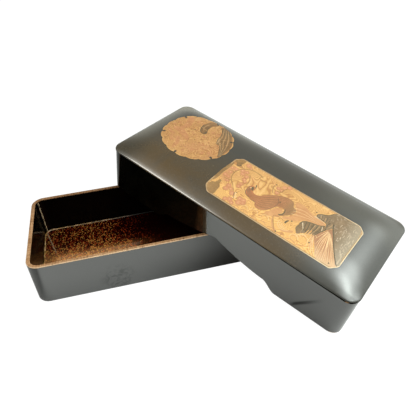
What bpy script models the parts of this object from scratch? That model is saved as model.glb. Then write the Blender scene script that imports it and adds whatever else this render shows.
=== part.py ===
"""A lacquered letter box: an open tray, and the domed lid that fits down over it.

The tray stands on the table. The lid has been lifted off and leans on the tray: one end of it stands
on the table, and the finger notches in its long sides sit on the tray's rim.

The origin is the middle of the tray's underside, +X runs along the tray and +Z is up.
"""

import math

import bmesh
import bpy
import numpy as np
from mathutils import Vector

# The tray, in metres
TRAY_LENGTH = 0.247
TRAY_WIDTH = 0.102
TRAY_HEIGHT = 0.0435
TRAY_WALL = 0.0035
TRAY_FLOOR = 0.0035
TRAY_CORNER = 0.0112
TRAY_FOOT_ROUND = 0.0015
TRAY_RIM_ROUND = 0.0007
TRAY_FILLET = 0.0010

# The lid, which is larger than the tray by its own walls and the play between the two
LID_FIT = 0.0005
LID_WALL = 0.0035
LID_SIDE = 0.0446
LID_CORNER = 0.0095
LID_LIP = 0.0005
LID_LIP_HEIGHT = 0.0012
LID_DOME = 0.0095
LID_SHOULDER = 0.035
LID_TOP = 0.0032

# The finger notch in the lower edge of each long side: a quick step at either end, then a low pointed arch
NOTCH_LENGTH = 0.134
NOTCH_STEP = 0.0085
NOTCH_STEP_RUN = 0.014
NOTCH_PEAK = 0.0197

# How the lid lies: the middle of the edge that it stands on, and the turn of its length from the tray's
LID_PAST_END = 0.0331
LID_IN_FRONT = 0.0682
LID_TURN = math.radians(-51.75)
REST_GAP = 0.0003

# How finely the curves are cut
CORNER_STEPS = 7
LONG_STEPS = 14
SHORT_STEPS = 5
EDGE_STEPS = 3
DOME_RINGS = 7
STEP_POINTS = 6
ARCH_POINTS = 10

# The arch of the notch rises faster towards its point, and the dome's shoulder flattens out inwards.
# The dome's rings lie closer together near its edge, and the innermost keeps this share of the corner.
ARCH_POWER = 1.6
SHOULDER_POWER = 2.5
RING_CROWDING = 1.25
INNERMOST_CORNER = 0.35

# How far the notch's cutter reaches past the lid, and from what angle an edge is shaded as sharp
CUTTER_REACH = 0.007
SHARP_ANGLE = math.radians(32)

# The search for the lid's tilt: its steepest guess and how often the guesses are halved
STEEPEST_TILT = math.radians(60)
TILT_HALVINGS = 40

# Finishes as base colour, roughness and coat
BLACK_LACQUER = ((0.012, 0.011, 0.010), 0.24, 0.6)
WORN_LACQUER = ((0.020, 0.017, 0.014), 0.30, 0.5)

LID_LENGTH = TRAY_LENGTH + 2 * (LID_FIT + LID_WALL)
LID_WIDTH = TRAY_WIDTH + 2 * (LID_FIT + LID_WALL)


def lacquer(name, look):
    """A lacquer finish: a dark ground under a clear coat."""
    colour, roughness, coat = look
    material = bpy.data.materials.new(name)
    material.use_nodes = True
    shader = material.node_tree.nodes["Principled BSDF"]
    shader.inputs["Base Color"].default_value = (*colour, 1.0)
    shader.inputs["Metallic"].default_value = 0.0
    shader.inputs["Roughness"].default_value = roughness
    shader.inputs["Coat Weight"].default_value = coat
    return material


def ring(length, width, corner, height=0.0):
    """A rounded rectangle about the origin, anticlockwise, its straight sides cut into equal parts."""
    quadrants = ((1, 1), (-1, 1), (-1, -1), (1, -1))
    middles = [Vector((x * (length / 2 - corner), y * (width / 2 - corner), height)) for x, y in quadrants]
    points = []
    for index, middle in enumerate(middles):
        angles = [(index + step / CORNER_STEPS) * math.pi / 2 for step in range(CORNER_STEPS + 1)]
        spokes = [corner * Vector((math.cos(angle), math.sin(angle), 0.0)) for angle in angles]
        points += [middle + spoke for spoke in spokes]
        # The straight side on to the next corner
        begin = points[-1]
        end = middles[(index + 1) % len(middles)] + spokes[-1]
        parts = SHORT_STEPS if index % 2 else LONG_STEPS
        points += [begin.lerp(end, part / parts) for part in range(1, parts)]
    return points


def quarter(inset, height, radius, start, end):
    """Profile points (inset, height) on an arc about a centre, from one angle to another, in degrees."""
    angles = np.radians(np.linspace(start, end, EDGE_STEPS + 1))
    return [(inset - radius * math.cos(a), height + radius * math.sin(a)) for a in angles]


def skin(name, rings, material):
    """A closed body: quads from each ring to the next, and one face over the first and the last ring."""
    bm = bmesh.new()
    loops = [[bm.verts.new(point) for point in points] for points in rings]
    for lower, upper in zip(loops, loops[1:]):
        for here in range(len(lower)):
            before = here - 1
            bm.faces.new((lower[before], lower[here], upper[here], upper[before]))
    bm.faces.new(loops[0][::-1])
    bm.faces.new(loops[-1])
    bmesh.ops.recalc_face_normals(bm, faces=bm.faces)
    mesh = bpy.data.meshes.new(name)
    bm.to_mesh(mesh)
    bm.free()
    mesh.materials.append(material)
    mesh.shade_smooth()
    mesh.set_sharp_from_angle(angle=SHARP_ANGLE)
    piece = bpy.data.objects.new(name, mesh)
    bpy.context.collection.objects.link(piece)
    return piece


def make_tray():
    """The tray: one wall profile carried round, from the underside over the rim to the floor."""
    foot, rim, fillet = TRAY_FOOT_ROUND, TRAY_RIM_ROUND, TRAY_FILLET
    profile = quarter(foot, foot, foot, -90, 0)
    profile += quarter(rim, TRAY_HEIGHT - rim, rim, 0, 90)
    profile += quarter(TRAY_WALL - rim, TRAY_HEIGHT - rim, rim, 90, 180)
    profile += quarter(TRAY_WALL + fillet, TRAY_FLOOR + fillet, fillet, 0, -90)
    rings = [
        ring(TRAY_LENGTH - 2 * inset, TRAY_WIDTH - 2 * inset, TRAY_CORNER - inset, height)
        for inset, height in profile
    ]
    return skin("tray", rings, lacquer("tray_lacquer", BLACK_LACQUER))


def shoulder(distance):
    """The share of the dome's height that is reached at a distance in from one side."""
    return 1 - (1 - min(distance / LID_SHOULDER, 1.0)) ** SHOULDER_POWER


def dome_height(point):
    """How far the top stands above the lip at a place in plan."""
    from_end = LID_LENGTH / 2 + LID_LIP - abs(point.x)
    from_side = LID_WIDTH / 2 + LID_LIP - abs(point.y)
    return LID_DOME * shoulder(max(from_end, 0.0)) * shoulder(max(from_side, 0.0))


def dome_rings(outer_inset, corner, level):
    """Rings from an outline in to the flat of the top, each raised to the dome's height above a level."""
    rings = []
    reach = LID_SHOULDER - LID_LIP - outer_inset
    for index in range(DOME_RINGS + 1):
        share = (index / DOME_RINGS) ** RING_CROWDING
        inset = outer_inset + reach * share
        kept_corner = corner * (1 - (1 - INNERMOST_CORNER) * share)
        points = ring(LID_LENGTH - 2 * inset, LID_WIDTH - 2 * inset, kept_corner)
        rings.append([Vector((p.x, p.y, level + dome_height(p))) for p in points])
    return rings


def make_lid():
    """The lid's shell, with its middle at the origin and its lower edge at height zero."""
    inner_corner = LID_CORNER - LID_WALL
    lip_level = LID_SIDE + LID_LIP_HEIGHT
    ceiling = dome_rings(LID_WALL, inner_corner, lip_level - LID_TOP)
    # The lip stands out upright for half its height, then leans back to the wall
    half_lip = LID_LIP_HEIGHT / 2
    walls = [(LID_WALL, 0.0), (0.0, 0.0), (0.0, LID_SIDE), (-LID_LIP, LID_SIDE)]
    walls += [(-LID_LIP, LID_SIDE + half_lip), (-LID_LIP / 2, lip_level - half_lip / 2)]
    sides = [
        ring(LID_LENGTH - 2 * inset, LID_WIDTH - 2 * inset, LID_CORNER - inset, height)
        for inset, height in walls
    ]
    crown = dome_rings(0.0, LID_CORNER, lip_level)
    return skin("lid", ceiling[::-1] + sides + crown, lacquer("lid_lacquer", WORN_LACQUER))


def notch_outline():
    """The notch's upper outline, as distances along the lid from its middle and heights, end to end."""
    arch_half = NOTCH_LENGTH / 2 - NOTCH_STEP_RUN
    half = []
    for point in range(STEP_POINTS):
        share = point / STEP_POINTS
        rise = share * share * (3 - 2 * share)
        half.append((NOTCH_LENGTH / 2 - share * NOTCH_STEP_RUN, NOTCH_STEP * rise))
    for point in range(ARCH_POINTS + 1):
        share = point / ARCH_POINTS
        rise = (NOTCH_PEAK - NOTCH_STEP) * share**ARCH_POWER
        half.append((arch_half * (1 - share), NOTCH_STEP + rise))
    return [(-along, height) for along, height in half] + half[-2::-1]


def make_notch_cutter():
    """A bar of the notch's outline, long enough to cut both long sides at once."""
    reach = LID_WIDTH / 2 + CUTTER_REACH
    outline = notch_outline()
    below = [(outline[-1][0], -CUTTER_REACH), (outline[0][0], -CUTTER_REACH)]
    bm = bmesh.new()
    verts = [bm.verts.new((along, -reach, height)) for along, height in outline + below]
    face = bm.faces.new(verts)
    grown = bmesh.ops.extrude_face_region(bm, geom=[face])["geom"]
    moved = [item for item in grown if isinstance(item, bmesh.types.BMVert)]
    bmesh.ops.translate(bm, verts=moved, vec=(0.0, 2 * reach, 0.0))
    bmesh.ops.recalc_face_normals(bm, faces=bm.faces)
    mesh = bpy.data.meshes.new("notch_cutter")
    bm.to_mesh(mesh)
    bm.free()
    cutter = bpy.data.objects.new("notch_cutter", mesh)
    bpy.context.collection.objects.link(cutter)
    cutter.hide_render = True
    cutter.display_type = "WIRE"
    return cutter


def lid_foot():
    """Where the middle of the edge that the lid stands on meets the table."""
    return Vector((TRAY_LENGTH / 2 + LID_PAST_END, -TRAY_WIDTH / 2 - LID_IN_FRONT, 0.0))


def clearance_over_rim(tilt):
    """The least height of the lid's long lower edges above the tray's rim, where they pass over it."""
    # Places along the lid, close enough together to see a gap's worth of change
    along = np.arange(-LID_LENGTH / 2, LID_LENGTH / 2, REST_GAP / 2)
    outline = np.array(notch_outline())
    notch = np.interp(along, outline[:, 0], outline[:, 1], left=0.0, right=0.0)
    height = (LID_LENGTH / 2 - along) * math.sin(tilt) + notch * math.cos(tilt)
    forward = (along - LID_LENGTH / 2) * math.cos(tilt) + notch * math.sin(tilt)
    foot = lid_foot()
    least = math.inf
    for side in (-1, 1):
        for inset in (0.0, LID_WALL):
            across = side * (LID_WIDTH / 2 - inset)
            x = foot.x + forward * math.cos(LID_TURN) - across * math.sin(LID_TURN)
            y = foot.y + forward * math.sin(LID_TURN) + across * math.cos(LID_TURN)
            from_end = TRAY_LENGTH / 2 - np.abs(x)
            from_side = TRAY_WIDTH / 2 - np.abs(y)
            inwards = np.minimum(from_end, from_side)
            over_rim = (inwards >= 0.0) & (inwards <= TRAY_WALL)
            if over_rim.any():
                least = min(least, height[over_rim].min() - TRAY_HEIGHT)
    return least


def lid_tilt():
    """The tilt at which the lid comes to rest: the smallest one that clears the rim by the gap."""
    low, high = 0.0, STEEPEST_TILT
    for _ in range(TILT_HALVINGS):
        middle = (low + high) / 2
        if clearance_over_rim(middle) < REST_GAP:
            low = middle
        else:
            high = middle
    return high


def main():
    for old in list(bpy.data.objects):
        bpy.data.objects.remove(old, do_unlink=True)

    make_tray()

    rest = bpy.data.objects.new("lid_rest", None)
    bpy.context.collection.objects.link(rest)
    rest.location = lid_foot()
    rest.rotation_euler = (0.0, lid_tilt(), LID_TURN)

    lid = make_lid()
    cutter = make_notch_cutter()
    for piece in (lid, cutter):
        piece.parent = rest
        piece.location = (-LID_LENGTH / 2, 0.0, 0.0)
    notches = lid.modifiers.new("notches", "BOOLEAN")
    notches.operation = "DIFFERENCE"
    notches.solver = "EXACT"
    notches.object = cutter


main()
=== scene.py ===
# %% [markdown]
# # A lacquer letter box
#
# The box is a Japanese letter box in black lacquer, in two loose pieces. The **tray** stands on the
# table with its worn tan rim and its amber, gold-sprinkled floor showing. The **lid** is deeper than the
# tray and fits down over it. Here it has been lifted off and leans across the tray, so its notched side
# and its domed top, with two gold pictures, face us.
#
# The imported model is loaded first. It is the fixed frame: every size below comes from it or is named
# once, in metres, where it is first needed.

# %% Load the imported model
import math
import random

import bmesh
import bpy
from mathutils import Euler, Matrix, Vector


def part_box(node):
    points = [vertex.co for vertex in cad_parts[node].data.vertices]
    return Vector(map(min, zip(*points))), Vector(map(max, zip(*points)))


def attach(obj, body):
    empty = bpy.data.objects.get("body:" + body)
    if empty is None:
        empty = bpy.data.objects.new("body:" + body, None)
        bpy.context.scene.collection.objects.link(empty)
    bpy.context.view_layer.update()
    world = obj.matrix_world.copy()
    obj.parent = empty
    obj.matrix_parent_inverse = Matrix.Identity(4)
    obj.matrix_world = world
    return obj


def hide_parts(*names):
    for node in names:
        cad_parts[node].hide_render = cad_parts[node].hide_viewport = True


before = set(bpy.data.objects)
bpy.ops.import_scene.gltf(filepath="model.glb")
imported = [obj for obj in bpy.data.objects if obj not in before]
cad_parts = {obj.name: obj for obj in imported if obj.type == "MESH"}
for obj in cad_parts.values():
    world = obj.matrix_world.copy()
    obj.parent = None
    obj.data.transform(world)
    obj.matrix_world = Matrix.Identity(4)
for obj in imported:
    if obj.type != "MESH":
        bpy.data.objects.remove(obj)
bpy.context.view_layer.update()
tray_low, tray_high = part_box("tray")
MM = 0.001
print("tray", [round(side / MM, 1) for side in tray_high - tray_low], "mm")

# %% [markdown]
# ## The camera
#
# A camera can be placed by eye, or worked back from straight edges whose real shape is known. The second
# way was used here: the rims and walls of the two pieces fix the place, the turn and the lens together.
# The camera looks down by 38 degrees and a little to the right, and is rolled by about three degrees.

# %% Camera
CAMERA_PLACE = Vector((-0.0273, -0.3433, 0.3082))
CAMERA_DOWN = 0.6660
CAMERA_TURN = 0.2116
CAMERA_ROLL = -0.0505
LENS = 38.68
SENSOR = 36.0

ahead = Vector((
    math.sin(CAMERA_TURN) * math.cos(CAMERA_DOWN),
    math.cos(CAMERA_TURN) * math.cos(CAMERA_DOWN),
    -math.sin(CAMERA_DOWN),
))
level = Vector((math.cos(CAMERA_TURN), -math.sin(CAMERA_TURN), 0.0))
right = math.cos(CAMERA_ROLL) * level + math.sin(CAMERA_ROLL) * level.cross(ahead)
facing = Matrix((right, right.cross(ahead), -ahead)).transposed()
camera_data = bpy.data.cameras.new("camera")
camera_data.lens = LENS
camera_data.sensor_width = SENSOR
camera_data.clip_start = 0.01
camera = bpy.data.objects.new("camera", camera_data)
camera.matrix_world = Matrix.Translation(CAMERA_PLACE) @ facing.to_4x4()
bpy.context.collection.objects.link(camera)
bpy.context.scene.camera = camera
print("camera looks down by", round(math.degrees(CAMERA_DOWN), 1), "degrees")

# %% [markdown]
# ## The light
#
# Lacquer is black glass: nearly all that we see on it is its surroundings. A bright pale room turns its
# walls grey, and a few soft windows draw the highlights on the dome. They could be area lights, but then
# their hard edges would show in the polish. Here they belong to the sky: the light of a window falls off
# smoothly with the angle from its middle. The room itself is a little brighter overhead.
#
# Nodes are made with small helpers. One adds any node and fills its sockets, and one does a sum. The plain
# "Standard" view keeps black and white at full strength, where a film-like view would lift the blacks.

# %% The room
ROOM_BASE = 0.44
OVERHEAD = 0.38

bpy.context.scene.view_settings.view_transform = "Standard"
world = bpy.data.worlds.new("pale_room")
world.use_nodes = True
bpy.context.scene.world = world


def add(owner, kind, **sockets):
    """One more node in a material or world; a socket takes a plain value or another node's output."""
    node = owner.node_tree.nodes.new(kind)
    for name, value in sockets.items():
        socket = node.inputs[int(name[1:])] if name[1:].isdigit() else node.inputs[name.replace("_", " ")]
        if isinstance(value, bpy.types.NodeSocket):
            owner.node_tree.links.new(value, socket)
        else:
            socket.default_value = value
    return node


def maths(owner, operation, first, second=0.0, third=0.0, clamp=False):
    """A sum on up to three numbers or outputs."""
    node = add(owner, "ShaderNodeMath", i0=first, i1=second, i2=third)
    node.operation = operation
    node.use_clamp = clamp
    return node.outputs[0]


def share_towards(towards):
    """One when looking straight that way, nothing from a right angle on."""
    direction = add(world, "ShaderNodeTexCoord").outputs["Generated"]
    node = add(world, "ShaderNodeVectorMath", i0=direction, i1=towards)
    node.operation = "DOT_PRODUCT"
    return maths(world, "MAXIMUM", node.outputs["Value"], 0.0)


upward = share_towards((0.0, 0.0, 1.0))
room = maths(world, "MULTIPLY_ADD", maths(world, "POWER", upward, 2.0), OVERHEAD, ROOM_BASE)
print("the room's strength goes from", ROOM_BASE, "to", round(ROOM_BASE + OVERHEAD, 2))

# %% [markdown]
# ### The windows
#
# Each window has a direction, a height, a tightness and a brightness. The cosine of the angle from its
# middle is raised to the tightness, so a high number gives a small window. The big day windows stand on
# the right and are a little cool, and the small lamps hang on the left and are as warm as the room. Each
# colour needs a Background shader of its own, and an Add Shader joins the two.

# %% Windows in the room
ROOM_COLOUR = (1.0, 0.99, 0.92, 1.0)
DAYLIGHT = (0.93, 1.0, 0.965, 1.0)
DAY_WINDOWS = [
    # compass direction from straight behind the box, height, how tight, how bright
    (94, 46, 23, 5.9),
    (133, 63, 21, 5.9),
    (122, 61, 60, 4.2),
    (95, 7, 3.7, 0.76),
]
LAMP_WINDOWS = [
    (-90, 55, 220, 8.0),
    (-102, 55, 220, 9.0),
    (-88, 60, 22, 1.2),
]


def with_windows(strength, windows):
    """Adds soft round windows to a strength."""
    for compass, height, tightness, brightness in windows:
        aside, up = math.radians(compass), math.radians(height)
        towards = (math.sin(aside) * math.cos(up), math.cos(aside) * math.cos(up), math.sin(up))
        lobe = maths(world, "POWER", share_towards(towards), tightness)
        strength = maths(world, "MULTIPLY_ADD", lobe, brightness, strength)
    return strength


def feed(owner, output, node, socket):
    """Links an output to a node's input."""
    owner.node_tree.links.new(output, node.inputs[socket])


lamps = add(world, "ShaderNodeBackground", Color=ROOM_COLOUR, Strength=with_windows(room, LAMP_WINDOWS))
daylight = add(world, "ShaderNodeBackground", Color=DAYLIGHT, Strength=with_windows(0.0, DAY_WINDOWS))
together = add(world, "ShaderNodeAddShader", i0=lamps.outputs[0], i1=daylight.outputs[0])
feed(world, together.outputs[0], world.node_tree.nodes["World Output"], "Surface")
print(len(DAY_WINDOWS), "day windows and", len(LAMP_WINDOWS), "lamps")

# %% [markdown]
# ## The table
#
# The box stands on plain white paper that runs out of sight on all sides. A wide flat disc is enough, set
# a hair below the tray so that the two don't share a plane.

# %% Table top
TABLE_RADIUS = 3.0
UNDER_TRAY = 0.1 * MM

bm = bmesh.new()
bmesh.ops.create_circle(bm, cap_ends=True, segments=96, radius=TABLE_RADIUS)
bmesh.ops.translate(bm, verts=bm.verts, vec=(0.0, 0.0, tray_low.z - UNDER_TRAY))
table_mesh = bpy.data.meshes.new("table")
bm.to_mesh(table_mesh)
bm.free()
table = bpy.data.objects.new("table", table_mesh)
bpy.context.collection.objects.link(table)
print("table", 2 * TABLE_RADIUS, "m across")

# %% [markdown]
# ### The table's paper
#
# In the lacquer the table mirrors as lit paper. A pool of light round the box, dimmer farther out, is
# painted into the paper's colour, which gives the tray's wall its soft darker edge. Looked at directly it
# is an even, nearly full white.
# One paper can't be both, so the paper is mixed with a white glow that only direct views get.
#
# Four more helpers start a finish, read Object coordinates, which are metres in the model's own frame,
# measure a distance and go smoothly from one number to another.

# %% Table finish
POOL_MIDDLE = (0.05, -0.15, 0.0)
POOL_INNER = 0.182
POOL_OUTER = 0.206
PAPER_LIT = 0.82
PAPER_DIM = 0.30
WHITE_GLOW = 1.15
WHITE_SHARE = 0.85


def finish(name, roughness=0.3, metallic=0.0, coat=0.0, coat_roughness=0.03):
    """A material and its Principled shader."""
    material = bpy.data.materials.new(name)
    material.use_nodes = True
    shader = material.node_tree.nodes["Principled BSDF"]
    shader.inputs["Roughness"].default_value = roughness
    shader.inputs["Metallic"].default_value = metallic
    shader.inputs["Coat Weight"].default_value = coat
    shader.inputs["Coat Roughness"].default_value = coat_roughness
    return material, shader


def on_object(material):
    """Object coordinates: metres in the model's own frame."""
    return add(material, "ShaderNodeTexCoord").outputs["Object"]


def reach(material, at, place):
    """How far a point is from a place, in metres."""
    node = add(material, "ShaderNodeVectorMath", i0=at, i1=place)
    node.operation = "DISTANCE"
    return node.outputs["Value"]


def span(material, value, start, end, first=0.0, last=1.0):
    """Goes smoothly from the first to the last number while the value goes from start to end."""
    node = add(
        material, "ShaderNodeMapRange", Value=value, From_Min=start, From_Max=end, To_Min=first, To_Max=last,
    )
    node.interpolation_type = "SMOOTHSTEP"
    return node.outputs[0]


table_white, paper = finish("table_white", roughness=0.9)
from_pool = reach(table_white, on_object(table_white), POOL_MIDDLE)
# Painted pool of light: the paper's colour is bright near the box and dim farther out.
lit = span(table_white, from_pool, POOL_INNER, POOL_OUTER, PAPER_LIT, PAPER_DIM)
feed(table_white, lit, paper, "Base Color")
glow = add(table_white, "ShaderNodeEmission", Strength=WHITE_GLOW)
seen = add(table_white, "ShaderNodeLightPath").outputs["Is Camera Ray"]
seen_share = maths(table_white, "MULTIPLY", seen, WHITE_SHARE)
both = add(table_white, "ShaderNodeMixShader", i0=seen_share, i1=paper.outputs[0], i2=glow.outputs[0])
feed(table_white, both.outputs[0], table_white.node_tree.nodes["Material Output"], "Surface")
table_mesh.materials.append(table_white)
print("the pool of light is", round(2 * POOL_INNER, 2), "m across")

# %% [markdown]
# ## Helpers for patterns
#
# Worn lacquer is drawn with noises and with masks, which are numbers from nothing to full. Four helpers
# make a noise, a colour ramp, a mix of two colours and a bump. Values that are the same all over need
# none of them: they go straight on the shader's own sockets.

# %% Helpers for patterns
OFF = (0.0, 0.0, 0.0)
ON = (1.0, 1.0, 1.0)


def noise(material, at, scale, detail=3.0, roughness=0.5, distortion=0.0):
    """A noise from nothing to one; the scale counts its features in a metre."""
    node = add(material, "ShaderNodeTexNoise", Vector=at, Scale=scale, Detail=detail)
    node.inputs["Roughness"].default_value = roughness
    node.inputs["Distortion"].default_value = distortion
    return node.outputs[0]


def ramp(material, factor, *stops):
    """A colour ramp from (position, colour) pairs."""
    node = add(material, "ShaderNodeValToRGB", Fac=factor)
    elements = node.color_ramp.elements
    while len(elements) < len(stops):
        elements.new(0.5)
    for element, (position, colour) in zip(elements, stops):
        element.position = position
        element.color = (*colour, 1.0)
    return node.outputs[0]


def blend(material, factor, first, second):
    """Mixes two colours, each a plain colour or an output."""
    node = add(material, "ShaderNodeMix")
    node.data_type = "RGBA"
    for socket, value in ((node.inputs[0], factor), (node.inputs[6], first), (node.inputs[7], second)):
        if isinstance(value, bpy.types.NodeSocket):
            material.node_tree.links.new(value, socket)
        else:
            socket.default_value = value if isinstance(value, float) else (*value, 1.0)
    return node.outputs[2]


def relief(material, shader, height, depth):
    """Feeds a height to the shader as a bump of a real depth in metres."""
    bump = add(material, "ShaderNodeBump", Height=height, Strength=1.0, Distance=depth)
    feed(material, bump.outputs[0], shader, "Normal")


print("a mask goes from", OFF[0], "to", ON[0])

# %% [markdown]
# ## The black lacquer
#
# The real thing is many thin coats of lacquer, polished, then a century of hands. So it is nearly black,
# glossy, and a little cloudy: soft patches where the polish has dulled, and fine dust-like specks. A plain
# glossy black would look like plastic. Here a broad and a fine noise mostly change the roughness, which
# is what dulled polish does, and the colour hardly moves. Inside, the black is warmer and has no coat.

# %% Black lacquer
LACQUER_BLACK = (0.0005, 0.0005, 0.0004)
LACQUER_CLOUD = (0.0030, 0.0030, 0.0018)
INNER_CLOUD = (0.0006, 0.0003, 0.0002)
SPECKS_COUNT = 0.25
CLOUD_RELIEF = 0.04 * MM


def black_lacquer(name, smooth_at, dull_at, cloud, gloss, coat=1.0):
    """Cloudy black, from its roughness where it is polished to that where it has dulled."""
    material, shader = finish(name, coat=coat, coat_roughness=0.05)
    shader.inputs["Specular IOR Level"].default_value = gloss
    at = on_object(material)
    clouds = noise(material, at, 26.0, 5.0, 0.62, 0.6)
    specks = noise(material, at, 900.0, 2.0, 0.6)
    dusty = ramp(material, specks, (0.60, OFF), (0.74, ON))
    patchy = ramp(material, clouds, (0.36, OFF), (0.72, ON))
    wear = maths(material, "MULTIPLY_ADD", dusty, SPECKS_COUNT, patchy, clamp=True)
    roughness = maths(material, "MULTIPLY_ADD", wear, dull_at - smooth_at, smooth_at)
    feed(material, roughness, shader, "Roughness")
    feed(material, blend(material, wear, LACQUER_BLACK, cloud), shader, "Base Color")
    relief(material, shader, clouds, CLOUD_RELIEF)
    return material, shader, at


outside_lacquer, shader, at = black_lacquer("outside_lacquer", 0.05, 0.13, LACQUER_CLOUD, gloss=0.06)
inside_lacquer, _, _ = black_lacquer("inside_lacquer", 0.04, 0.08, INNER_CLOUD, gloss=0.04, coat=0.0)
print("made", outside_lacquer.name, "and", inside_lacquer.name)

# %% [markdown]
# ### Dulled places and painted shade outside
#
# The coat outside mirrors the white table, and that is why the black wall looks grey. Where fingers have
# smeared it, the lacquer mirrors less. That could be a rougher coat, which blurs the mirror image, or a
# weaker coat, which darkens it, as is seen here. So the coat's weight is one, less a mask that adds up
# finger smears and painted shade: a weaker coat towards the foot and on the part of the wall towards the
# lid, which darkens the wall there.

# %% Dulled places and painted shade outside
SMEAR_AT = (-0.050, -0.051, 0.013)
SMEAR_DULLS = 0.32
FOOT_SHADE = (0.11, 0.34)
WALL_SHADE_BY_LID = 0.20


def axes(material, at):
    """The three coordinates of a place as outputs: along, across and up."""
    return add(material, "ShaderNodeSeparateXYZ", Vector=at).outputs[:]


shader.inputs["Coat IOR"].default_value = 1.9
along, _, up = axes(outside_lacquer, at)
streaky = span(outside_lacquer, noise(outside_lacquer, at, 150.0, 4.0, 0.6, 1.5), 0.42, 0.62)
near_smear = span(outside_lacquer, reach(outside_lacquer, at, SMEAR_AT), 5 * MM, 20 * MM, SMEAR_DULLS, 0.0)
smeared = maths(outside_lacquer, "MULTIPLY", streaky, near_smear)
# Painted shade: the coat weakens towards the foot and beside the lid, darkening the wall there.
foot = span(outside_lacquer, up, 36 * MM, 3 * MM)
foot_shade = span(outside_lacquer, along, -40 * MM, 20 * MM, *FOOT_SHADE)
smears_and_shade = maths(outside_lacquer, "MULTIPLY_ADD", foot, foot_shade, smeared)
shade_by_lid = span(outside_lacquer, along, 8 * MM, 45 * MM, 0.0, WALL_SHADE_BY_LID)
smears_and_shade = maths(outside_lacquer, "ADD", smears_and_shade, shade_by_lid)
feed(outside_lacquer, maths(outside_lacquer, "SUBTRACT", 1.0, smears_and_shade), shader, "Coat Weight")
print("beside the lid the foot keeps", round(1 - FOOT_SHADE[1] - WALL_SHADE_BY_LID, 2), "of its coat")

# %% [markdown]
# ### Painted highlight in the inner corners
#
# A thin broken streak of dull olive gold is painted up each of the tray's rounded inner corners, as the
# painted highlight that the rounding catches. It could be a strip of its own, but that would have clean
# edges. Here the finish measures how far each point is from the corner's upright line, and a noise makes
# the streak ragged.

# %% Painted highlight in the corners
TRAY_WALL = 3.5 * MM
INSIDE_CORNER = 7.7 * MM
STREAK_WIDTH = 0.72 * MM
CORNER_HIGHLIGHT = (0.26, 0.205, 0.130)
RAGGED = 4.4


def inner_corner(sign_x, sign_y):
    """The middle of the arc in one of the tray's inner corners, seen from above."""
    cut = TRAY_WALL + INSIDE_CORNER * (1 - math.sqrt(0.5))
    return Vector((sign_x * (tray_high.x - cut), sign_y * (tray_high.y - cut), 0.0))


highlit_inner_wall, shader, at = black_lacquer("highlit_inner_wall", 0.15, 0.22, INNER_CLOUD, gloss=0.04, coat=0.0)
black = shader.inputs["Base Color"].links[0].from_socket
flat = add(highlit_inner_wall, "ShaderNodeVectorMath", i0=at, i1=(1.0, 1.0, 0.0))
flat.operation = "MULTIPLY"
nearness = 1.0
for signs in ((-1, 1), (-1, -1), (1, 1), (1, -1)):
    from_corner = reach(highlit_inner_wall, flat.outputs[0], inner_corner(*signs))
    nearness = maths(highlit_inner_wall, "MINIMUM", nearness, from_corner)
broken = noise(highlit_inner_wall, at, 300.0, 4.0, 0.8)
ragged = maths(highlit_inner_wall, "MULTIPLY_ADD", broken, -RAGGED * STREAK_WIDTH, nearness)
# Painted highlight: a pale olive gold streak along each rounded inner corner.
corner_highlight = span(highlit_inner_wall, ragged, -1.9 * STREAK_WIDTH, -1.2 * STREAK_WIDTH, 1.0, 0.0)
feed(highlit_inner_wall, blend(highlit_inner_wall, corner_highlight, black, CORNER_HIGHLIGHT), shader, "Base Color")
print("streaks about", round(STREAK_WIDTH / MM, 2), "mm wide")

# %% [markdown]
# ### The joint: painted highlight and shade
#
# The joint between the walls and the floor is a thin line of the same painted highlight, caught by its
# rounding. It is patchy, from brown to pale gold, and it turns black under the lid as painted shade.

# %% Joint: painted highlight and shade
JOINT_DARK = (0.028, 0.010, 0.002)
JOINT_HIGHLIGHT = (0.16, 0.090, 0.020)
JOINT_PALE_HIGHLIGHT = (0.34, 0.215, 0.115)

joint_highlight_and_shade, shader = finish("joint_highlight_and_shade", roughness=0.35)
at = on_object(joint_highlight_and_shade)
patches = noise(joint_highlight_and_shade, at, 160.0, 4.0, 0.65)
gold = ramp(joint_highlight_and_shade, patches, (0.36, JOINT_DARK), (0.50, JOINT_HIGHLIGHT), (0.66, JOINT_PALE_HIGHLIGHT))
# Painted shade: the joint turns black towards the part under the lid.
joint_lid_shade = span(joint_highlight_and_shade, axes(joint_highlight_and_shade, at)[0], -75 * MM, -15 * MM)
feed(joint_highlight_and_shade, blend(joint_highlight_and_shade, joint_lid_shade, gold, LACQUER_BLACK), shader, "Base Color")
print("made", joint_highlight_and_shade.name)

# %% [markdown]
# ## The worn rim
#
# Along the rim the black has been rubbed away by the lid and by hands, down to the tan ground and the
# wood. It isn't one colour: it is streaked along the edge, with a few dark grains of lacquer left, and it
# is darker on the far side. Stretching the noise along the edges would need two directions, so two noises
# are used, each drawn out along one axis. The edge that faces out is painted paler, as a painted highlight,
# and gets its own three tones.

# %% Worn rim
ALONG_GRAIN = 60.0
ACROSS_GRAIN = 700.0
FAR_SIDE_DARKER = 0.55


def rim_finish(name, dark, middle, pale):
    """Wood and ground streaked along the tray's edges, darker on the far side."""
    material, shader = finish(name, roughness=0.6)
    shader.inputs["Specular IOR Level"].default_value = 0.1
    at = on_object(material)
    grains = []
    for scale in ((ALONG_GRAIN, ACROSS_GRAIN, ALONG_GRAIN), (ACROSS_GRAIN, ALONG_GRAIN, ALONG_GRAIN)):
        drawn_out = add(material, "ShaderNodeMapping", Vector=at, Scale=scale)
        grains.append(noise(material, drawn_out.outputs[0], 1.0, 4.0, 0.6))
    grain = maths(material, "ADD", *grains)
    tan = ramp(material, maths(material, "MULTIPLY", grain, 0.5), (0.36, dark), (0.46, middle), (0.60, pale))
    far_side = span(material, axes(material, at)[1], 20 * MM, 46 * MM, 0.0, FAR_SIDE_DARKER)
    feed(material, blend(material, far_side, tan, dark), shader, "Base Color")
    relief(material, shader, grain, 0.08 * MM)
    return material


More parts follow.
